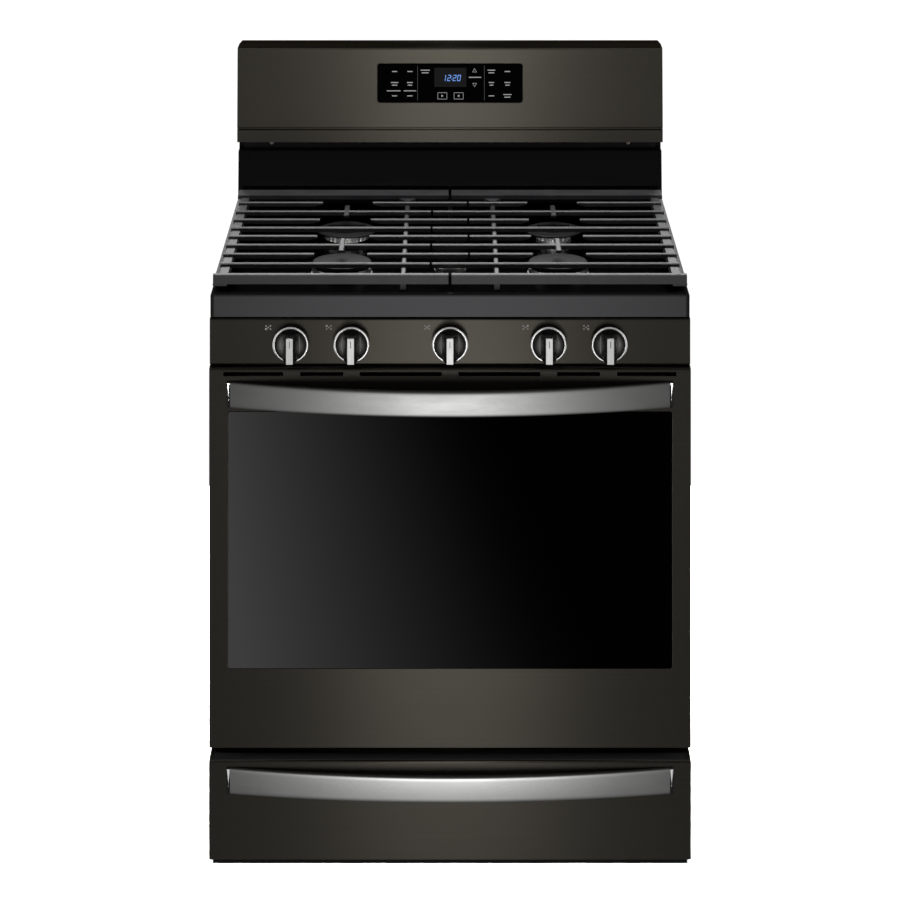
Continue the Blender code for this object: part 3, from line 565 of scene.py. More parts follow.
def shadow_strip_and_drawer_tape():
    """A black strip just above the floor that paints the shadow under the drawer, and black tape on the
    drawer front's top flange.
    """
    base_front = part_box("base_frame")[0].y
    # Painted shadow: a black strip along the floor under the drawer front.
    shadow_strip = Shape().box((-SHADOW_STRIP_HALF, SHADOW_STRIP_HALF), (SHADOW_STRIP_FRONT, base_front - 0.0004), (SHADOW_STRIP_LOW, SHADOW_STRIP_HIGH))
    shadow_strip.made("painted_shadow_strip", "cap", "range_body", bevel=0.0005, slot="front_enamel")
    tape = Shape().box((DRAWER_LOW.x + 0.006, DRAWER_HIGH.x - 0.006),
                       (DRAWER_LOW.y + 0.0040, DRAWER_LOW.y + 0.0280),
                       (DRAWER_HIGH.z + 0.00005, DRAWER_HIGH.z + 0.0006))
    tape.made("drawer_tape", "plastic", "drawer", slot="front_enamel")


# Knobs ---------------------------------------------------------------
def knob_pieces(number, centre):
    face = PANEL_FACE
    x, z = centre.x, centre.z
    spot = (x, 0, z)
    body = f"dial_{number}"
    skirt = Shape().turned([(0, face - 0.0034), (0.0235, face - 0.0034), (0.0243, face - 0.0042),
                            (0.0240, face - 0.0090), (0.0250, face - 0.0100), (0.0250, face - 0.0108),
                            (0, face - 0.0108)], spot, "Y", 64)
    skirt.made(f"knob_skirt_{number}", "skirt", body, (f"knob_{number}",), slot="knob_metal")
    ring = [(0.0254, face - 0.0138), (0.0275, face - 0.0138), (0.0280, face - 0.0142),
            (0.0282, face - 0.0148), (0.0281, face - 0.0154), (0.0274, face - 0.0160),
            (0.0269, face - 0.0162), (0.0254, face - 0.0160)]
    circle = [[Vector((r * math.cos(t), y, r * math.sin(t))) + Vector(spot) for r, y in ring]
              for t in (2 * math.pi * i / 72 for i in range(72))]
    Shape().loft(circle, closed=True).made(f"knob_ring_{number}", "ring", body, slot="knob_metal")
    dish = Shape().turned([(0, face - 0.0109), (0.0252, face - 0.0109), (0.0252, face - 0.0176),
                           (0.0249, face - 0.0178), (0.0240, face - 0.0169), (0.0215, face - 0.0152),
                           (0.0175, face - 0.0137), (0.0125, face - 0.0126), (0, face - 0.0120)],
                          spot, "Y", 64)
    dish.made(f"knob_dish_{number}", "dish", body, slot="knob_metal")
    flank = [(-0.0132, -0.0120), (0.0132, -0.0120), (0.0120, -0.0270), (0.0078, -0.0440),
             (0.0064, -0.0480), (-0.0064, -0.0480), (-0.0078, -0.0440), (-0.0120, -0.0270)]
    grip = Shape().prism([(x + a, face + b) for a, b in flank], "Z", z - 0.0205, z + 0.0195)
    grip.made(f"knob_grip_{number}", "skirt", body, bevel=0.0016, segments=3, slot="knob_metal")
    bar = Shape().prism(rounded((x - 0.0056, x + 0.0056), (z - 0.0208, z + 0.0198), 0.0010), "Y",
                        face - 0.0500, face - 0.0478)
    bar.made(f"knob_bar_{number}", "bar", body, bevel=0.0006, segments=2, slot="knob_metal")
    mark = Shape().box((x - 0.0005, x + 0.0005), (face - 0.05012, face - 0.0499), (z + 0.005, z + 0.0155))
    mark.made(f"knob_mark_{number}", "satin", body, slot="knob_metal")
    # Painted highlight: pale strips at the foot of the grip's flanks stand for the thin line of reflected
    # light there.
    edges = Shape()
    for side in (-1, 1):
        edges.prism([(x + side * 0.0125, face - 0.0120), (x + side * 0.0146, face - 0.0120),
                     (x + side * 0.0146, face - 0.0136), (x + side * 0.0125, face - 0.0150)],
                    "Z", z - 0.0165, z + 0.0165)
    edges.made(f"knob_edges_{number}", "bar", body, slot="knob_metal")


def burner_icons():
    """Next to each knob, a square of dots that says which burner it works."""
    face = PANEL_FACE
    icons = Shape()
    for number, knob in enumerate(KNOBS):
        x, z = knob.x - 0.036, knob.z + 0.023
        spots = [(-0.0034, -0.0024), (-0.0034, 0.0024), (0.0, 0.0), (0.0034, 0.0024), (0.0034, -0.0024)]
        for k, (dx, dz) in enumerate(spots):
            size = 0.0019 if k == number else 0.0013
            icons.turned([(0, face - 0.00008), (size, face - 0.00008), (size, face + 0.0002),
                          (0, face + 0.0002)], (x + dx, 0, z + dz), "Y", 16)
    icons.made("burner_icons", "ink", "range_body", slot="black_stainless")


# Burners -------------------------------------------------------------
def head_rings(radius, low, high, teeth, stretch=0.0, notch=0.0022):
    """The band of gas ports: a toothed ring between two plain flanges."""
    def circle(r, z, toothed=False):
        ring = []
        steps = teeth * 4
        for i in range(steps):
            turn = 2 * math.pi * (i + 0.5) / steps
            reach = r - (notch if toothed and i % 4 in (1, 2) else 0.0)
            y = reach * math.sin(turn)
            ring.append((reach * math.cos(turn), y + math.copysign(stretch, y), z))
        return ring
    band_low, band_high = low + 0.0075, high - 0.0035
    return [circle(radius - 0.0030, low), circle(radius, low + 0.0020), circle(radius, band_low),
            circle(radius - 0.0006, band_low + 0.0003, True),
            circle(radius - 0.0006, band_high - 0.0003, True),
            circle(radius, band_high), circle(radius - 0.0005, high - 0.0008), circle(radius - 0.0030, high)]


def burner_pieces():
    floor = TOP_LOW.z + 0.009
    for name in CAPS:
        base_low, base_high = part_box(f"burner_base_{name}")
        cap_low, cap_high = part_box(f"burner_cap_{name}")
        centre = (cap_low + cap_high) / 2
        here = Vector((centre.x, centre.y, 0))
        radius = (base_high.x - base_low.x) / 2
        flange = (cap_high.x - cap_low.x) / 2
        stretch = (cap_high.y - cap_low.y) / 2 - flange
        teeth = 44 if name == "centre" else int(radius * 700)
        head = Shape()
        head.loft([[Vector(p) + here for p in ring]
                   for ring in head_rings(radius, floor + 0.0003, base_high.z, teeth, stretch)])
        head.turned([(0, base_low.z), (0.0143, base_low.z), (0.0143, floor - 0.0004), (0, floor - 0.0004)],
                    here, "Z", 32)
        head.made(f"burner_head_{name}", "aluminium", "range_body", (f"burner_base_{name}",),
                  angle=40, slot="burner_aluminium")
        if not stretch:
            split = base_high.z - (base_high.z - floor) * 0.55
            collar = Shape().turned([(radius - 0.004, floor + 0.0002), (radius + 0.0016, floor + 0.0002),
                                     (radius + 0.0016, split - 0.0006), (radius + 0.0010, split),
                                     (radius + 0.0003, split), (radius + 0.0003, floor + 0.0022),
                                     (radius - 0.004, floor + 0.0016)], here, "Z", 72)
            collar.made(f"burner_collar_{name}", "cap", "range_body", angle=60, slot="cooktop_enamel")
        low, top = cap_low.z, cap_high.z
        edge = top if name in ("front_left", "front_right", "centre") else top - 0.0055
        outline = [(flange - 0.0030, low), (flange - 0.0008, low + 0.0006), (flange, low + 0.0018),
                   (flange - 0.0003, edge - 0.0018), (flange - 0.0014, edge - 0.0006),
                   (flange - 0.0032, edge - 0.0001)]
        if edge < top:
            inner = {"rear_left": 0.0330, "rear_right": 0.0285}[name]
            outline += [(inner + 0.0016, edge), (inner + 0.0003, edge + 0.0008), (inner, top - 0.0016),
                        (inner - 0.0010, top - 0.0004), (inner - 0.0026, top)]
        steps = 96
        rings = []
        for r, z in outline:
            ring = []
            for i in range(steps):
                turn = 2 * math.pi * (i + 0.5) / steps
                y = r * math.sin(turn)
                ring.append(Vector((r * math.cos(turn), y + math.copysign(stretch, y), z)) + here)
            rings.append(ring)
        cap = Shape().loft(rings)
        cap.made(f"burner_lid_{name}", "cap", f"cap_{name}", (f"burner_cap_{name}",), angle=60,
                 slot="cap_enamel")
        gap = radius + 0.0065
        pin = Vector((centre.x, centre.y + stretch + gap, 0))
        Shape().turned([(0, floor), (0.0034, floor), (0.0034, floor + 0.004), (0.0024, floor + 0.0045),
                        (0.0024, floor + 0.0135), (0.0012, floor + 0.0142), (0, floor + 0.0142)],
                       pin, "Z", 20).made(f"igniter_{name}", "ceramic", "range_body", slot="burner_aluminium")
        Shape().turned([(0, floor + 0.0140), (0.0007, floor + 0.0140), (0.0007, floor + 0.0170),
                        (0, floor + 0.0173)], pin, "Z", 10).made(
            f"igniter_tip_{name}", "polished", "range_body", slot="burner_aluminium")


# Console -------------------------------------------------------------
def console_frame():
    """A matrix whose X is right, Y is up the console glass and Z stands out of it."""
    low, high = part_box("console_glass")
    tilt = math.atan2(0.009, 0.137)
    out = Vector((0, -math.cos(tilt), math.sin(tilt)))
    up = Vector((0, math.sin(tilt), math.cos(tilt)))
    thickness = 0.0030
    face = (low + high) / 2 + out * thickness / 2
    matrix = Matrix(((1, up.x, out.x, face.x), (0, up.y, out.y, face.y), (0, up.z, out.z, face.z),
                     (0, 0, 0, 1)))
    return matrix


PRINT = (0.00002, 0.00016)       # the printed marks' back and front, above the glass


def outline(shape, outer, inner):
    """A flat closed line between two outlines."""
    shape.loft([[(a, b, PRINT[0]), (c, d, PRINT[0]), (c, d, PRINT[1]), (a, b, PRINT[1])]
                for (a, b), (c, d) in zip(outer, inner)], closed=True)


def digit(shape, x, y, lit, height=0.0106, width=0.0056, stroke=0.0009):
    """One seven-segment digit; lit names its segments, a to g."""
    half = height / 2
    inset = 0.0003
    bars = {"a": ((x + inset, x + width - inset), (y + height - stroke, y + height)),
            "g": ((x + inset, x + width - inset), (y + half - stroke / 2, y + half + stroke / 2)),
            "d": ((x + inset, x + width - inset), (y, y + stroke)),
            "f": ((x, x + stroke), (y + half + inset, y + height - inset)),
            "b": ((x + width - stroke, x + width), (y + half + inset, y + height - inset)),
            "e": ((x, x + stroke), (y + inset, y + half - inset)),
            "c": ((x + width - stroke, x + width), (y + inset, y + half - inset))}
    for key in lit:
        shape.box(*bars[key], PRINT)


def console_marks():
    """The clock, its window, and generic marks where the keys' legends are."""
    matrix = console_frame()
    window = Shape().prism(rounded((-0.0279, 0.0291), (-0.0066, 0.0271), 0.0008, 2), "Z", -0.0001, PRINT[0])
    window.move(matrix).made("clock_window", "window", "range_body", slot="black_glass")

    clock = Shape()
    base, slant = 0.0038, 0.14
    for x, lit in ((-0.0140, "bc"), (-0.0050, "abged"), (0.0046, "abged"), (0.0125, "abcdef")):
        digit(clock, x, base, lit)
    for y in (base + 0.0026, base + 0.0070):
        clock.box((0.0021, 0.0031), (y, y + 0.0011), PRINT)
    lean = Matrix(((1, slant, 0, -slant * base), (0, 1, 0, 0), (0, 0, 1, 0), (0, 0, 0, 1)))
    clock.move(matrix @ lean).made("clock_digits", "digits", "range_body", slot="display_module")

    marks = Shape()
    top, mid, low = 0.0205, -0.0013, -0.0225
    single, double = (0.0,), (0.0023, -0.0023)
    labels = [(-0.0989, top, 0.0092, single), (-0.0716, top, 0.0092, single), (-0.0443, top, 0.0165, double),
              (-0.0989, mid, 0.0130, double), (-0.0716, mid, 0.0105, double),
              (-0.0989, low, 0.0090, single), (-0.0716, low, 0.0095, single),
              (-0.1005, -0.0136, 0.0245, single), (-0.0715, -0.0136, 0.0220, single),
              (0.0738, top, 0.0135, double), (0.1025, top, 0.0100, single),
              (0.0738, mid, 0.0095, double), (0.1025, mid, 0.0105, double),
              (0.0738, low, 0.0100, single), (0.1025, low, 0.0145, double),
              (0.0445, 0.0102, 0.0220, single)]
    for x, y, width, lines in labels:
        for number, rise in enumerate(lines):
            reach = width / 2 * (1 - 0.25 * number)
            marks.box((x - reach, x + reach), (y + rise - 0.0008, y + rise + 0.0008), PRINT)
    for turn, y in ((1, 0.0225), (-1, -0.0032)):
        outer = [(0.0439 - 0.0040, y - turn * 0.0032), (0.0439 + 0.0040, y - turn * 0.0032),
                 (0.0439, y + turn * 0.0040)]
        inner = [(0.0439 + (x - 0.0439) * 0.72, y + (z - y + turn * 0.0008) * 0.72 - turn * 0.0008)
                 for x, z in outer]
        outline(marks, outer, inner)
    for x in (-0.0137, 0.0155):
        outline(marks, rounded((x - 0.0085, x + 0.0085), (low - 0.0060, low + 0.0060), 0.0012, 3),
                rounded((x - 0.0078, x + 0.0078), (low - 0.0053, low + 0.0053), 0.0008, 3))
    marks.prism([(-0.0154, low - 0.0022), (-0.0114, low), (-0.0154, low + 0.0022)], "Z", *PRINT)
    marks.box((0.0140, 0.0170), (low - 0.0015, low + 0.0015), PRINT)
    marks.move(matrix).made("console_marks", "legend", "range_body", slot="black_glass")

    rules = Shape()
    for x in (-0.0579, 0.0613):
        rules.box((x - 0.0004, x + 0.0004), (-0.0305, 0.0304), PRINT)
    rules.move(matrix).made("console_rules", "rule", "range_body", slot="black_glass")


# Racks, oven and door inside -----------------------------------------
def wire_rack(name, node, body):
    low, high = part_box(node)
    thick, thin = 0.0027, 0.0016
    z = low.z + thick
    rack = Shape()
    corner = 0.018
    outline = [(p[0], p[1], z) for p in rounded((low.x + thick, high.x - thick),
                                                (low.y + thick, high.y - thick), corner, 4)]
    ring = []
    for i, p in enumerate(outline):
        before, after = Vector(outline[i - 1]), Vector(outline[(i + 1) % len(outline)])
        ahead = (after - before).normalized()
        side = ahead.cross(Vector((0, 0, 1)))
        ring.append([Vector(p) + thick * (side * math.cos(t) + Vector((0, 0, 1)) * math.sin(t))
                     for t in (2 * math.pi * k / 10 for k in range(10))])
    rack.loft(ring, closed=True)
    for share in (0.32, 0.68):
        y = low.y + (high.y - low.y) * share
        rack.tube([(low.x + thick, y, z), (high.x - thick, y, z)], thick * 0.9)
    count = 22
    for number in range(1, count):
        x = low.x + (high.x - low.x) * number / count
        rack.tube([(x, low.y + thick, high.z - thin), (x, high.y - thick, high.z - thin)], thin)
    rack.made(name, "wire", body, (node,), angle=60, slot="rack_wire")


def oven_details():
    low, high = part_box("oven_cavity")
    wrap = Shape()
    gap, thick = 0.0025, 0.026
    for z0, z1 in ((high.z + gap, high.z + gap + thick), (low.z - gap - 0.016, low.z - gap)):
        wrap.box((low.x - 0.03, high.x + 0.03), (low.y + 0.010, high.y + 0.012), (z0, z1))
    for x0, x1 in ((low.x - gap - thick, low.x - gap), (high.x + gap, high.x + gap + thick)):
        wrap.box((x0, x1), (low.y + 0.010, high.y + 0.012), (low.z - gap + 0.001, high.z + gap - 0.001))
    wrap.made("oven_insulation", "wool", "range_body", bevel=0.004, slot="gasket_fibre")
    lamp = (high.x - 0.075, high.y - 0.003, high.z - 0.085)
    Shape().turned([(0, 0.0), (0.026, 0.0), (0.026, -0.006), (0.022, -0.009), (0.021, -0.016),
                    (0.014, -0.024), (0, -0.027)], lamp, "Y", 40).made(
        "oven_lamp", "ceramic", "range_body", slot="oven_enamel")
    fan = centre_of("convection_fan")
    motor = Shape().turned([(0, 0.2560), (0.0058, 0.2560), (0.0058, 0.2465), (0.036, 0.2465),
                            (0.040, 0.2500), (0.040, 0.2800), (0.030, 0.2850), (0, 0.2850)],
                           (fan.x, 0, fan.z), "Y", 40)
    motor.made("fan_motor", "zinc", "range_body", slot="zinc_sheet")


def door_details():
    low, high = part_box("door_gasket")
    y = (low.y + high.y) / 2
    radius = 0.0011
    outline = rounded((low.x + 0.004, high.x - 0.004), (low.z + 0.004, high.z - 0.004), 0.017, 6)
    ring = []
    for i, p in enumerate(outline):
        before, after = Vector(outline[i - 1]), Vector(outline[(i + 1) % len(outline)])
        ahead = (after - before).normalized()
        ring.append([(p[0] + ahead.y * 0.0036 * math.cos(t), y + radius * math.sin(t),
                      p[1] - ahead.x * 0.0036 * math.cos(t))
                     for t in (2 * math.pi * k / 12 for k in range(12))])
    Shape().loft(ring, closed=True).made("door_seal", "fibre", "oven_door", ("door_gasket",), angle=70,
                                         slot="gasket_fibre")
    low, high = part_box("door_inner_panel")
    screws = Shape()
    for x in (low.x + 0.018, high.x - 0.018):
        for z in (low.z + 0.07, (low.z + high.z) / 2, high.z - 0.02):
            screws.turned([(0, high.y), (0.0042, high.y), (0.0036, high.y + 0.0010),
                           (0, high.y + 0.0013)], (x, 0, z), "Y", 20)
    screws.made("door_screws", "polished", "oven_door", slot="zinc_sheet")


def backguard_details():
    """The black liner of the vent recess, with its screws, and a row of black glass shapes that paint the
    shade seen through its exhaust openings.
    """
    y = 0.3221
    low = RISER_TOP - 0.0183
    liner = Shape().box((-0.3690, 0.3690), (y, y + 0.0003), (low + 0.0008, low + 0.0240))
    liner.made("vent_liner", "cap", "range_body", slot="front_enamel")
    # Painted shade: black glass shapes where the exhaust openings would show only dark, drawn in place of
    # holes.
    slot_shades = Shape()
    count = 17
    for number in range(count):
        x = -0.24 + 0.48 * number / (count - 1)
        slot_shades.prism(rounded((x - 0.010, x + 0.010), (low + 0.0065, low + 0.0125), 0.0028), "Y",
                    y - 0.0003, y + 0.0001)
    slot_shades.made("vent_slot_shades", "glass", "range_body", slot="front_enamel")
    screws = Shape()
    for x in (-0.320, 0.320):
        screws.turned([(0, y), (0.0036, y), (0.0032, y - 0.0012), (0, y - 0.0016)],
                      (x, 0, low + 0.010), "Y", 24)
    screws.made("vent_screws", "tube", "range_body", slot="front_enamel")


def rear_details():
    y = REAR_FACE
    heads = Shape()
    for x in (-0.360, -0.18, 0.0, 0.18, 0.360):
        for z in (0.045, 0.45, 0.845, 1.020, 1.150):
            heads.turned([(0, y), (0.0045, y), (0.0038, y + 0.0006), (0, y + 0.0008)], (x, 0, z), "Y", 16)
    heads.made("rear_screws", "polished", "range_body", slot="zinc_sheet")
    ribs = Shape()
    for x0, x1, z0, z1 in ((-0.33, -0.03, 0.10, 0.58), (0.03, 0.33, 0.20, 0.58), (-0.33, 0.33, 0.76, 0.82)):
        ribs.prism(rounded((x0, x1), (z0, z1), 0.02), "Y", y - 0.0002, y + 0.0006)
    ribs.made("rear_swages", "zinc", "range_body", bevel=0.0003, slot="zinc_sheet")


def cooktop_details():
    front = TOP_LOW.y
    dimple = Shape().turned([(0, TOP_HIGH.z - 0.0006), (0.0024, TOP_HIGH.z - 0.0006),
                             (0.0024, TOP_HIGH.z + 0.0003), (0.0018, TOP_HIGH.z + 0.0006),
                             (0, TOP_HIGH.z + 0.0007)], (0, front + 0.006, 0), "Z", 24)
    dimple.made("rim_stud", "plastic", "range_body", slot="cooktop_enamel")
    post = Shape().turned([(0, 0.8702), (0.0040, 0.8702), (0.0040, 0.9130), (0.0028, 0.9150), (0, 0.9152)],
                          (0, 0.2500, 0), "Z", 24)
    post.made("grate_post", "satin", "range_body", slot="cooktop_enamel")


def feet():
    for number in range(1, 5):
        node = f"levelling_foot_{number}"
        spot = centre_of(node)
        foot = Shape().turned([(0, 0), (0.0158, 0), (0.0168, 0.0012), (0.0168, 0.0066), (0.0150, 0.0085),
                               (0.0085, 0.0092), (0.0080, 0.0150), (0.0050, 0.0155)]
                              + [(0.0050 if i % 2 else 0.0044, 0.0165 + 0.0008 * i) for i in range(40)]
                              + [(0, 0.0490)], (spot.x, spot.y, 0), "Z", 32)
        foot.made(f"foot_{number}_turned", "plastic", f"foot_{number}", (node,), slot="foot_plastic")


# Stage ---------------------------------------------------------------
# Lamp powers in watts; ROOM and CARD are strengths.
ROOM = 0.08
STRIP = 2.75
APRON = 5.0
APRON_FILL = 0.4
DOOR_PULL = 11.2
DRAWER_PULL = 7.0
GLINTS = 12.0
CONSOLE_STRIP = 4.2
CONSOLE_FILL = 7.5
CONSOLE_EDGE = 2.4
FILL = 10.5
BACKLIGHT = 75.0
OVERHEAD = 28.0
GRATE_FRONT = 7.0
GRATE_RIM = 6.0
HEADS = 42.0
REAR_LIDS = 20.0
RISER = 2.5
KNOB_LIGHT = 6.0
BAR_LIGHT = 2.6
RING_LIGHT = 3.6
RING_SIDE = 5.0
SIDES = 34.0
CARD = 1.15
FLOOR_FRONT = 1200.0
FLOOR_REAR = 900.0


def lamp(name, spot, aim, size, power, skips=(), only=()):
    """A softbox. What it skips gets none of its light; if only is given, nothing else gets any."""
    light = bpy.data.lights.new(name, "AREA")
    light.shape = "RECTANGLE"
    light.size, light.size_y = size
    light.energy = power
    lit = bpy.data.objects.new(name, light)
    SCENE.collection.objects.link(lit)
    lit.location = spot
    lit.rotation_euler = (Vector(aim) - Vector(spot)).to_track_quat("-Z", "Y").to_euler()
    lit.visible_camera = False
    if skips:
        shade = bpy.data.collections.new(name + "_skips")
        for thing in skips:
            shade.objects.link(thing)
        for entry in shade.collection_objects:
            entry.light_linking.link_state = "EXCLUDE"
        lit.light_linking.receiver_collection = shade
    if only:
        only_lights(lit, *only)


def named(*names):
    return [bpy.data.objects[name] for name in names]


def only_lights(lit, *things):
    """Keep the light of a lamp or a glowing object to these things."""
    chosen = bpy.data.collections.new(lit.name + "_only")
    for thing in things:
        chosen.objects.link(thing)
    lit.light_linking.receiver_collection = chosen


def stage():
    floor = bpy.data.meshes.new("floor")
    bm = bmesh.new()
    bmesh.ops.create_grid(bm, x_segments=1, y_segments=1, size=1.4)
    bm.to_mesh(floor)
    bm.free()
    ground = bpy.data.objects.new("floor", floor)
    ground.location.z = -0.0003
    ground.visible_glossy = False
    ground.visible_diffuse = False
    SCENE.collection.objects.link(ground)
    pale = Finish("studio_floor", (0.90, 0.90, 0.90), 0.0, 0.9)
    pale.vary("Base Color", pale.noise(0.6), (0.89, 0.89, 0.89), (0.91, 0.91, 0.91))
    floor.materials.append(pale.material)

    world = bpy.data.worlds.new("studio")
    SCENE.world = world
    world.use_nodes = True
    nodes, links = world.node_tree.nodes, world.node_tree.links
    dim = nodes["Background"]
    dim.inputs["Color"].default_value = (1.0, 1.0, 1.0, 1.0)
    dim.inputs["Strength"].default_value = ROOM
    white = nodes.new("ShaderNodeBackground")
    white.inputs["Color"].default_value = (1.0, 1.0, 1.0, 1.0)
    white.inputs["Strength"].default_value = 1.05
    path = nodes.new("ShaderNodeLightPath")
    mix = nodes.new("ShaderNodeMixShader")
    links.new(path.outputs["Is Camera Ray"], mix.inputs[0])
    links.new(dim.outputs[0], mix.inputs[1])
    links.new(white.outputs[0], mix.inputs[2])
    links.new(mix.outputs[0], nodes["World Output"].inputs["Surface"])

    mirrors = [NODES[n] for n in ("door_glass", "console_glass", "backguard_riser")]
    console = NODES["backguard_shell"]
    pulls = named("door_pull", "drawer_pull")
    rings = named(*(f"knob_ring_{k}" for k in range(1, 6)))
    bars = named(*(f"knob_bar_{k}" for k in range(1, 6)))
    dials = named(*(f"knob_{part}_{k}" for k in range(1, 6) for part in ("dish", "grip", "skirt", "edges")))
    top = NODES["cooktop"]
    grates = [NODES["grate_left"], NODES["grate_right"]]
    glints = named("door_pull_glints", "drawer_pull_glints")
    lids = named(*(f"burner_lid_{name}" for name in CAPS))
    lamp("front_strip", (0.0, -1.75, 0.27), (0, 0, 0.27), (0.36, 0.50), STRIP, mirrors + pulls + [top])
    lamp("front_fill", (0.0, -3.6, 0.5), (0, 0, 0.5), (3.2, 0.8), FILL, mirrors + pulls + bars + [top])
    lamp("apron_strip", (0.0, -1.75, 0.55), (0, 0, 0.55), (0.36, 0.40), APRON, only=[top])
    lamp("apron_fill", (0.0, -3.6, 0.5), (0, 0, 0.5), (3.2, 0.8), APRON_FILL, only=[top])
    lamp("door_pull_strip", (0.0, -1.75, 0.27), (0, 0, 0.27), (0.45, 0.50), DOOR_PULL, only=[pulls[0]])
    lamp("drawer_pull_strip", (0.0, -1.2, 0.15), (0, 0, 0.1), (0.40, 0.25), DRAWER_PULL, only=[pulls[1]])
    lamp("glint_light", (0.0, -1.6, 0.30), (0, 0, 0.4), (1.6, 0.40), GLINTS, only=glints)
    lamp("console_strip", (0.0, -1.75, 1.0), (0, 0, 1.0), (0.36, 0.50), CONSOLE_STRIP, only=[console])
    lamp("console_fill", (0.0, -3.6, 0.9), (0, 0, 0.9), (3.2, 0.8), CONSOLE_FILL, only=[console])
    lamp("console_edge", (0.0, 0.1, 2.6), (0, 0.2, 1.1), (1.2, 0.3), CONSOLE_EDGE, only=[console])
    lamp("backlight", (0.0, 1.6, 2.6), (0, 0.0, 0.9), (1.8, 0.8), BACKLIGHT,
         [console, top] + lids[2:])
    lamp("overhead", (0.0, 0.0, 2.4), (0, 0.0, 0.9), (1.0, 0.6), OVERHEAD, only=grates)
    lamp("grate_front", (0.0, -2.6, 0.918), (0, 0, 0.918), (1.6, 0.04), GRATE_FRONT, only=grates)
    for side in (-1, 1):
        lamp(f"grate_rim_{side}", (side * 1.5, 3.0, 1.3), (side * 0.37, 0, 0.92), (0.8, 0.8), GRATE_RIM,
             only=grates)
    lamp("rear_lid_light", (0.0, 0.24, 1.9), (0, 0.1, 0.9), (1.2, 0.3), REAR_LIDS, only=lids[2:4])
    lamp("riser_light", (0.0, -0.25, 2.5), (0, 0.26, 1.0), (1.0, 0.4), RISER,
         only=named("backguard_riser"))
    lamp("burner_light", (0.0, -1.6, 1.5), (0, 0.0, 0.9), (1.2, 0.4), HEADS,
         only=named("burner_head_rear_left", "burner_head_rear_right"))
    lamp("knob_light", (-1.1, -3.1, 1.2), (0, -0.3, 0.82), (0.6, 0.8), KNOB_LIGHT, only=dials)
    lamp("bar_light", (0.0, -2.6, 0.5), (0, -0.3, 0.86), (0.9, 0.9), BAR_LIGHT, only=bars)
    lamp("ring_light", (0.0, -1.15, 2.3), (0, -0.3, 0.82), (3.2, 0.8), RING_LIGHT, only=rings)
    for side in (-1, 1):
        lamp(f"ring_side_{side}", (side * 1.25, -0.55, 0.85), (0, -0.3, 0.82), (0.8, 1.7), RING_SIDE,
             only=rings)
        lamp(f"side_box_{side}", (side * 2.4, -0.9, 0.7), (0, -0.3, 0.5), (0.8, 1.2), SIDES,
             mirrors + pulls + bars + rings + dials + grates + [console, top])
    lamp("floor_light", (0.0, -2.2, 2.6), (0, 0, 0), (2.5, 1.5), FLOOR_FRONT, only=[ground])
    lamp("floor_light_rear", (0.0, 2.4, 2.4), (0, 0.3, 0), (3.5, 1.5), FLOOR_REAR, only=[ground])
    reflection_card(NODES["door_glass"])


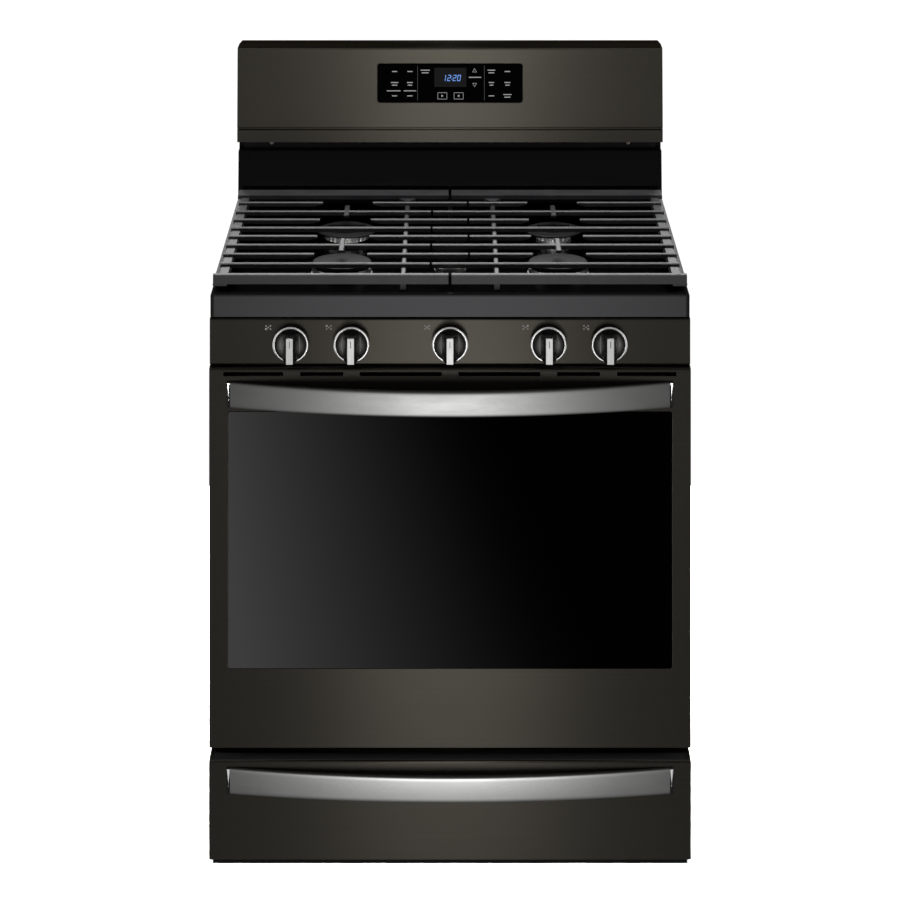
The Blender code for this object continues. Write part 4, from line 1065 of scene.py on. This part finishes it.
def reflection_card(glass):
    """A card lying in front of the range that only the door's window mirrors: bright at the near left,
    fading to nothing at the right."""
    mesh = bpy.data.meshes.new("reflection_card")
    bm = bmesh.new()
    corners = [bm.verts.new(p) for p in ((-1.2, -3.0, 0), (1.2, -3.0, 0), (1.2, -0.6, 0), (-1.2, -0.6, 0))]
    bm.faces.new(corners)
    bm.to_mesh(mesh)
    bm.free()
    card = bpy.data.objects.new("reflection_card", mesh)
    card.location.z = 0.0005
    SCENE.collection.objects.link(card)
    card.visible_camera = False
    card.visible_diffuse = False
    card.visible_shadow = False
    only_lights(card, glass)
    glow = Finish("card_glow", (0.0, 0.0, 0.0), 0.0, 0.9, **{"Specular IOR Level": 0.0})
    x, y, _ = glow.split()
    fade_across, fade_along, edge_x, edge_y, curve = 1.45, 0.18, 0.39, 1.12, 2.2
    across = glow.maths("MULTIPLY_ADD", x, -fade_across, 1.0 - fade_across * edge_x)
    both = glow.maths("MULTIPLY_ADD", y, fade_along, across)
    level = glow.maths("ADD", both, fade_along * edge_y)
    level.node.use_clamp = True
    strength = glow.maths("MULTIPLY", glow.maths("POWER", level, curve), CARD)
    glow.shader.inputs["Emission Color"].default_value = (1.0, 1.0, 1.0, 1.0)
    glow.links.new(strength, glow.shader.inputs["Emission Strength"])
    mesh.materials.append(glow.material)


def view_camera():
    """A view camera: its lens looks down at the range while its film stays upright, so that uprights
    stay parallel in the picture."""
    distance, height = 4.5, 2.167
    film_distance = 114.282          # millimetres from the lens to its upright film
    pitch = math.radians(18.5927)
    camera = bpy.data.cameras.new("camera")
    camera.sensor_width = 36
    camera.lens = film_distance / math.cos(pitch)
    eye = bpy.data.objects.new("camera", camera)
    SCENE.collection.objects.link(eye)
    holder = bpy.data.objects.new("camera_holder", None)
    SCENE.collection.objects.link(holder)
    spot = Vector((0, DOOR_FACE - distance, height))
    upright = Matrix(((1, 0, 0, spot.x), (0, 0, -math.cos(pitch), spot.y),
                      (0, 1, math.sin(pitch), spot.z), (0, 0, 0, 1)))
    lens = Matrix.Translation(spot) @ Matrix.Rotation(math.radians(90) - pitch, 4, "X")
    eye.matrix_basis = lens
    eye.parent = holder
    eye.matrix_parent_inverse = upright @ lens.inverted()
    SCENE.camera = eye


SCENE.view_settings.view_transform = "Standard"
dress_cad_nodes()
bowed_pull("door_pull", "door_handle", "oven_door", DOOR_FACE)
bowed_pull("drawer_pull", "drawer_handle", "drawer", DRAWER_LOW.y)
shadow_strip_and_drawer_tape()
for number, knob in enumerate(KNOBS, 1):
    knob_pieces(number, knob)
burner_icons()
burner_pieces()
console_marks()
wire_rack("rack_upper_wires", "oven_rack_upper", "upper_rack")
wire_rack("rack_lower_wires", "oven_rack_lower", "lower_rack")
oven_details()
door_details()
backguard_details()
rear_details()
cooktop_details()
feet()
stage()
view_camera()
bpy.context.view_layer.update()
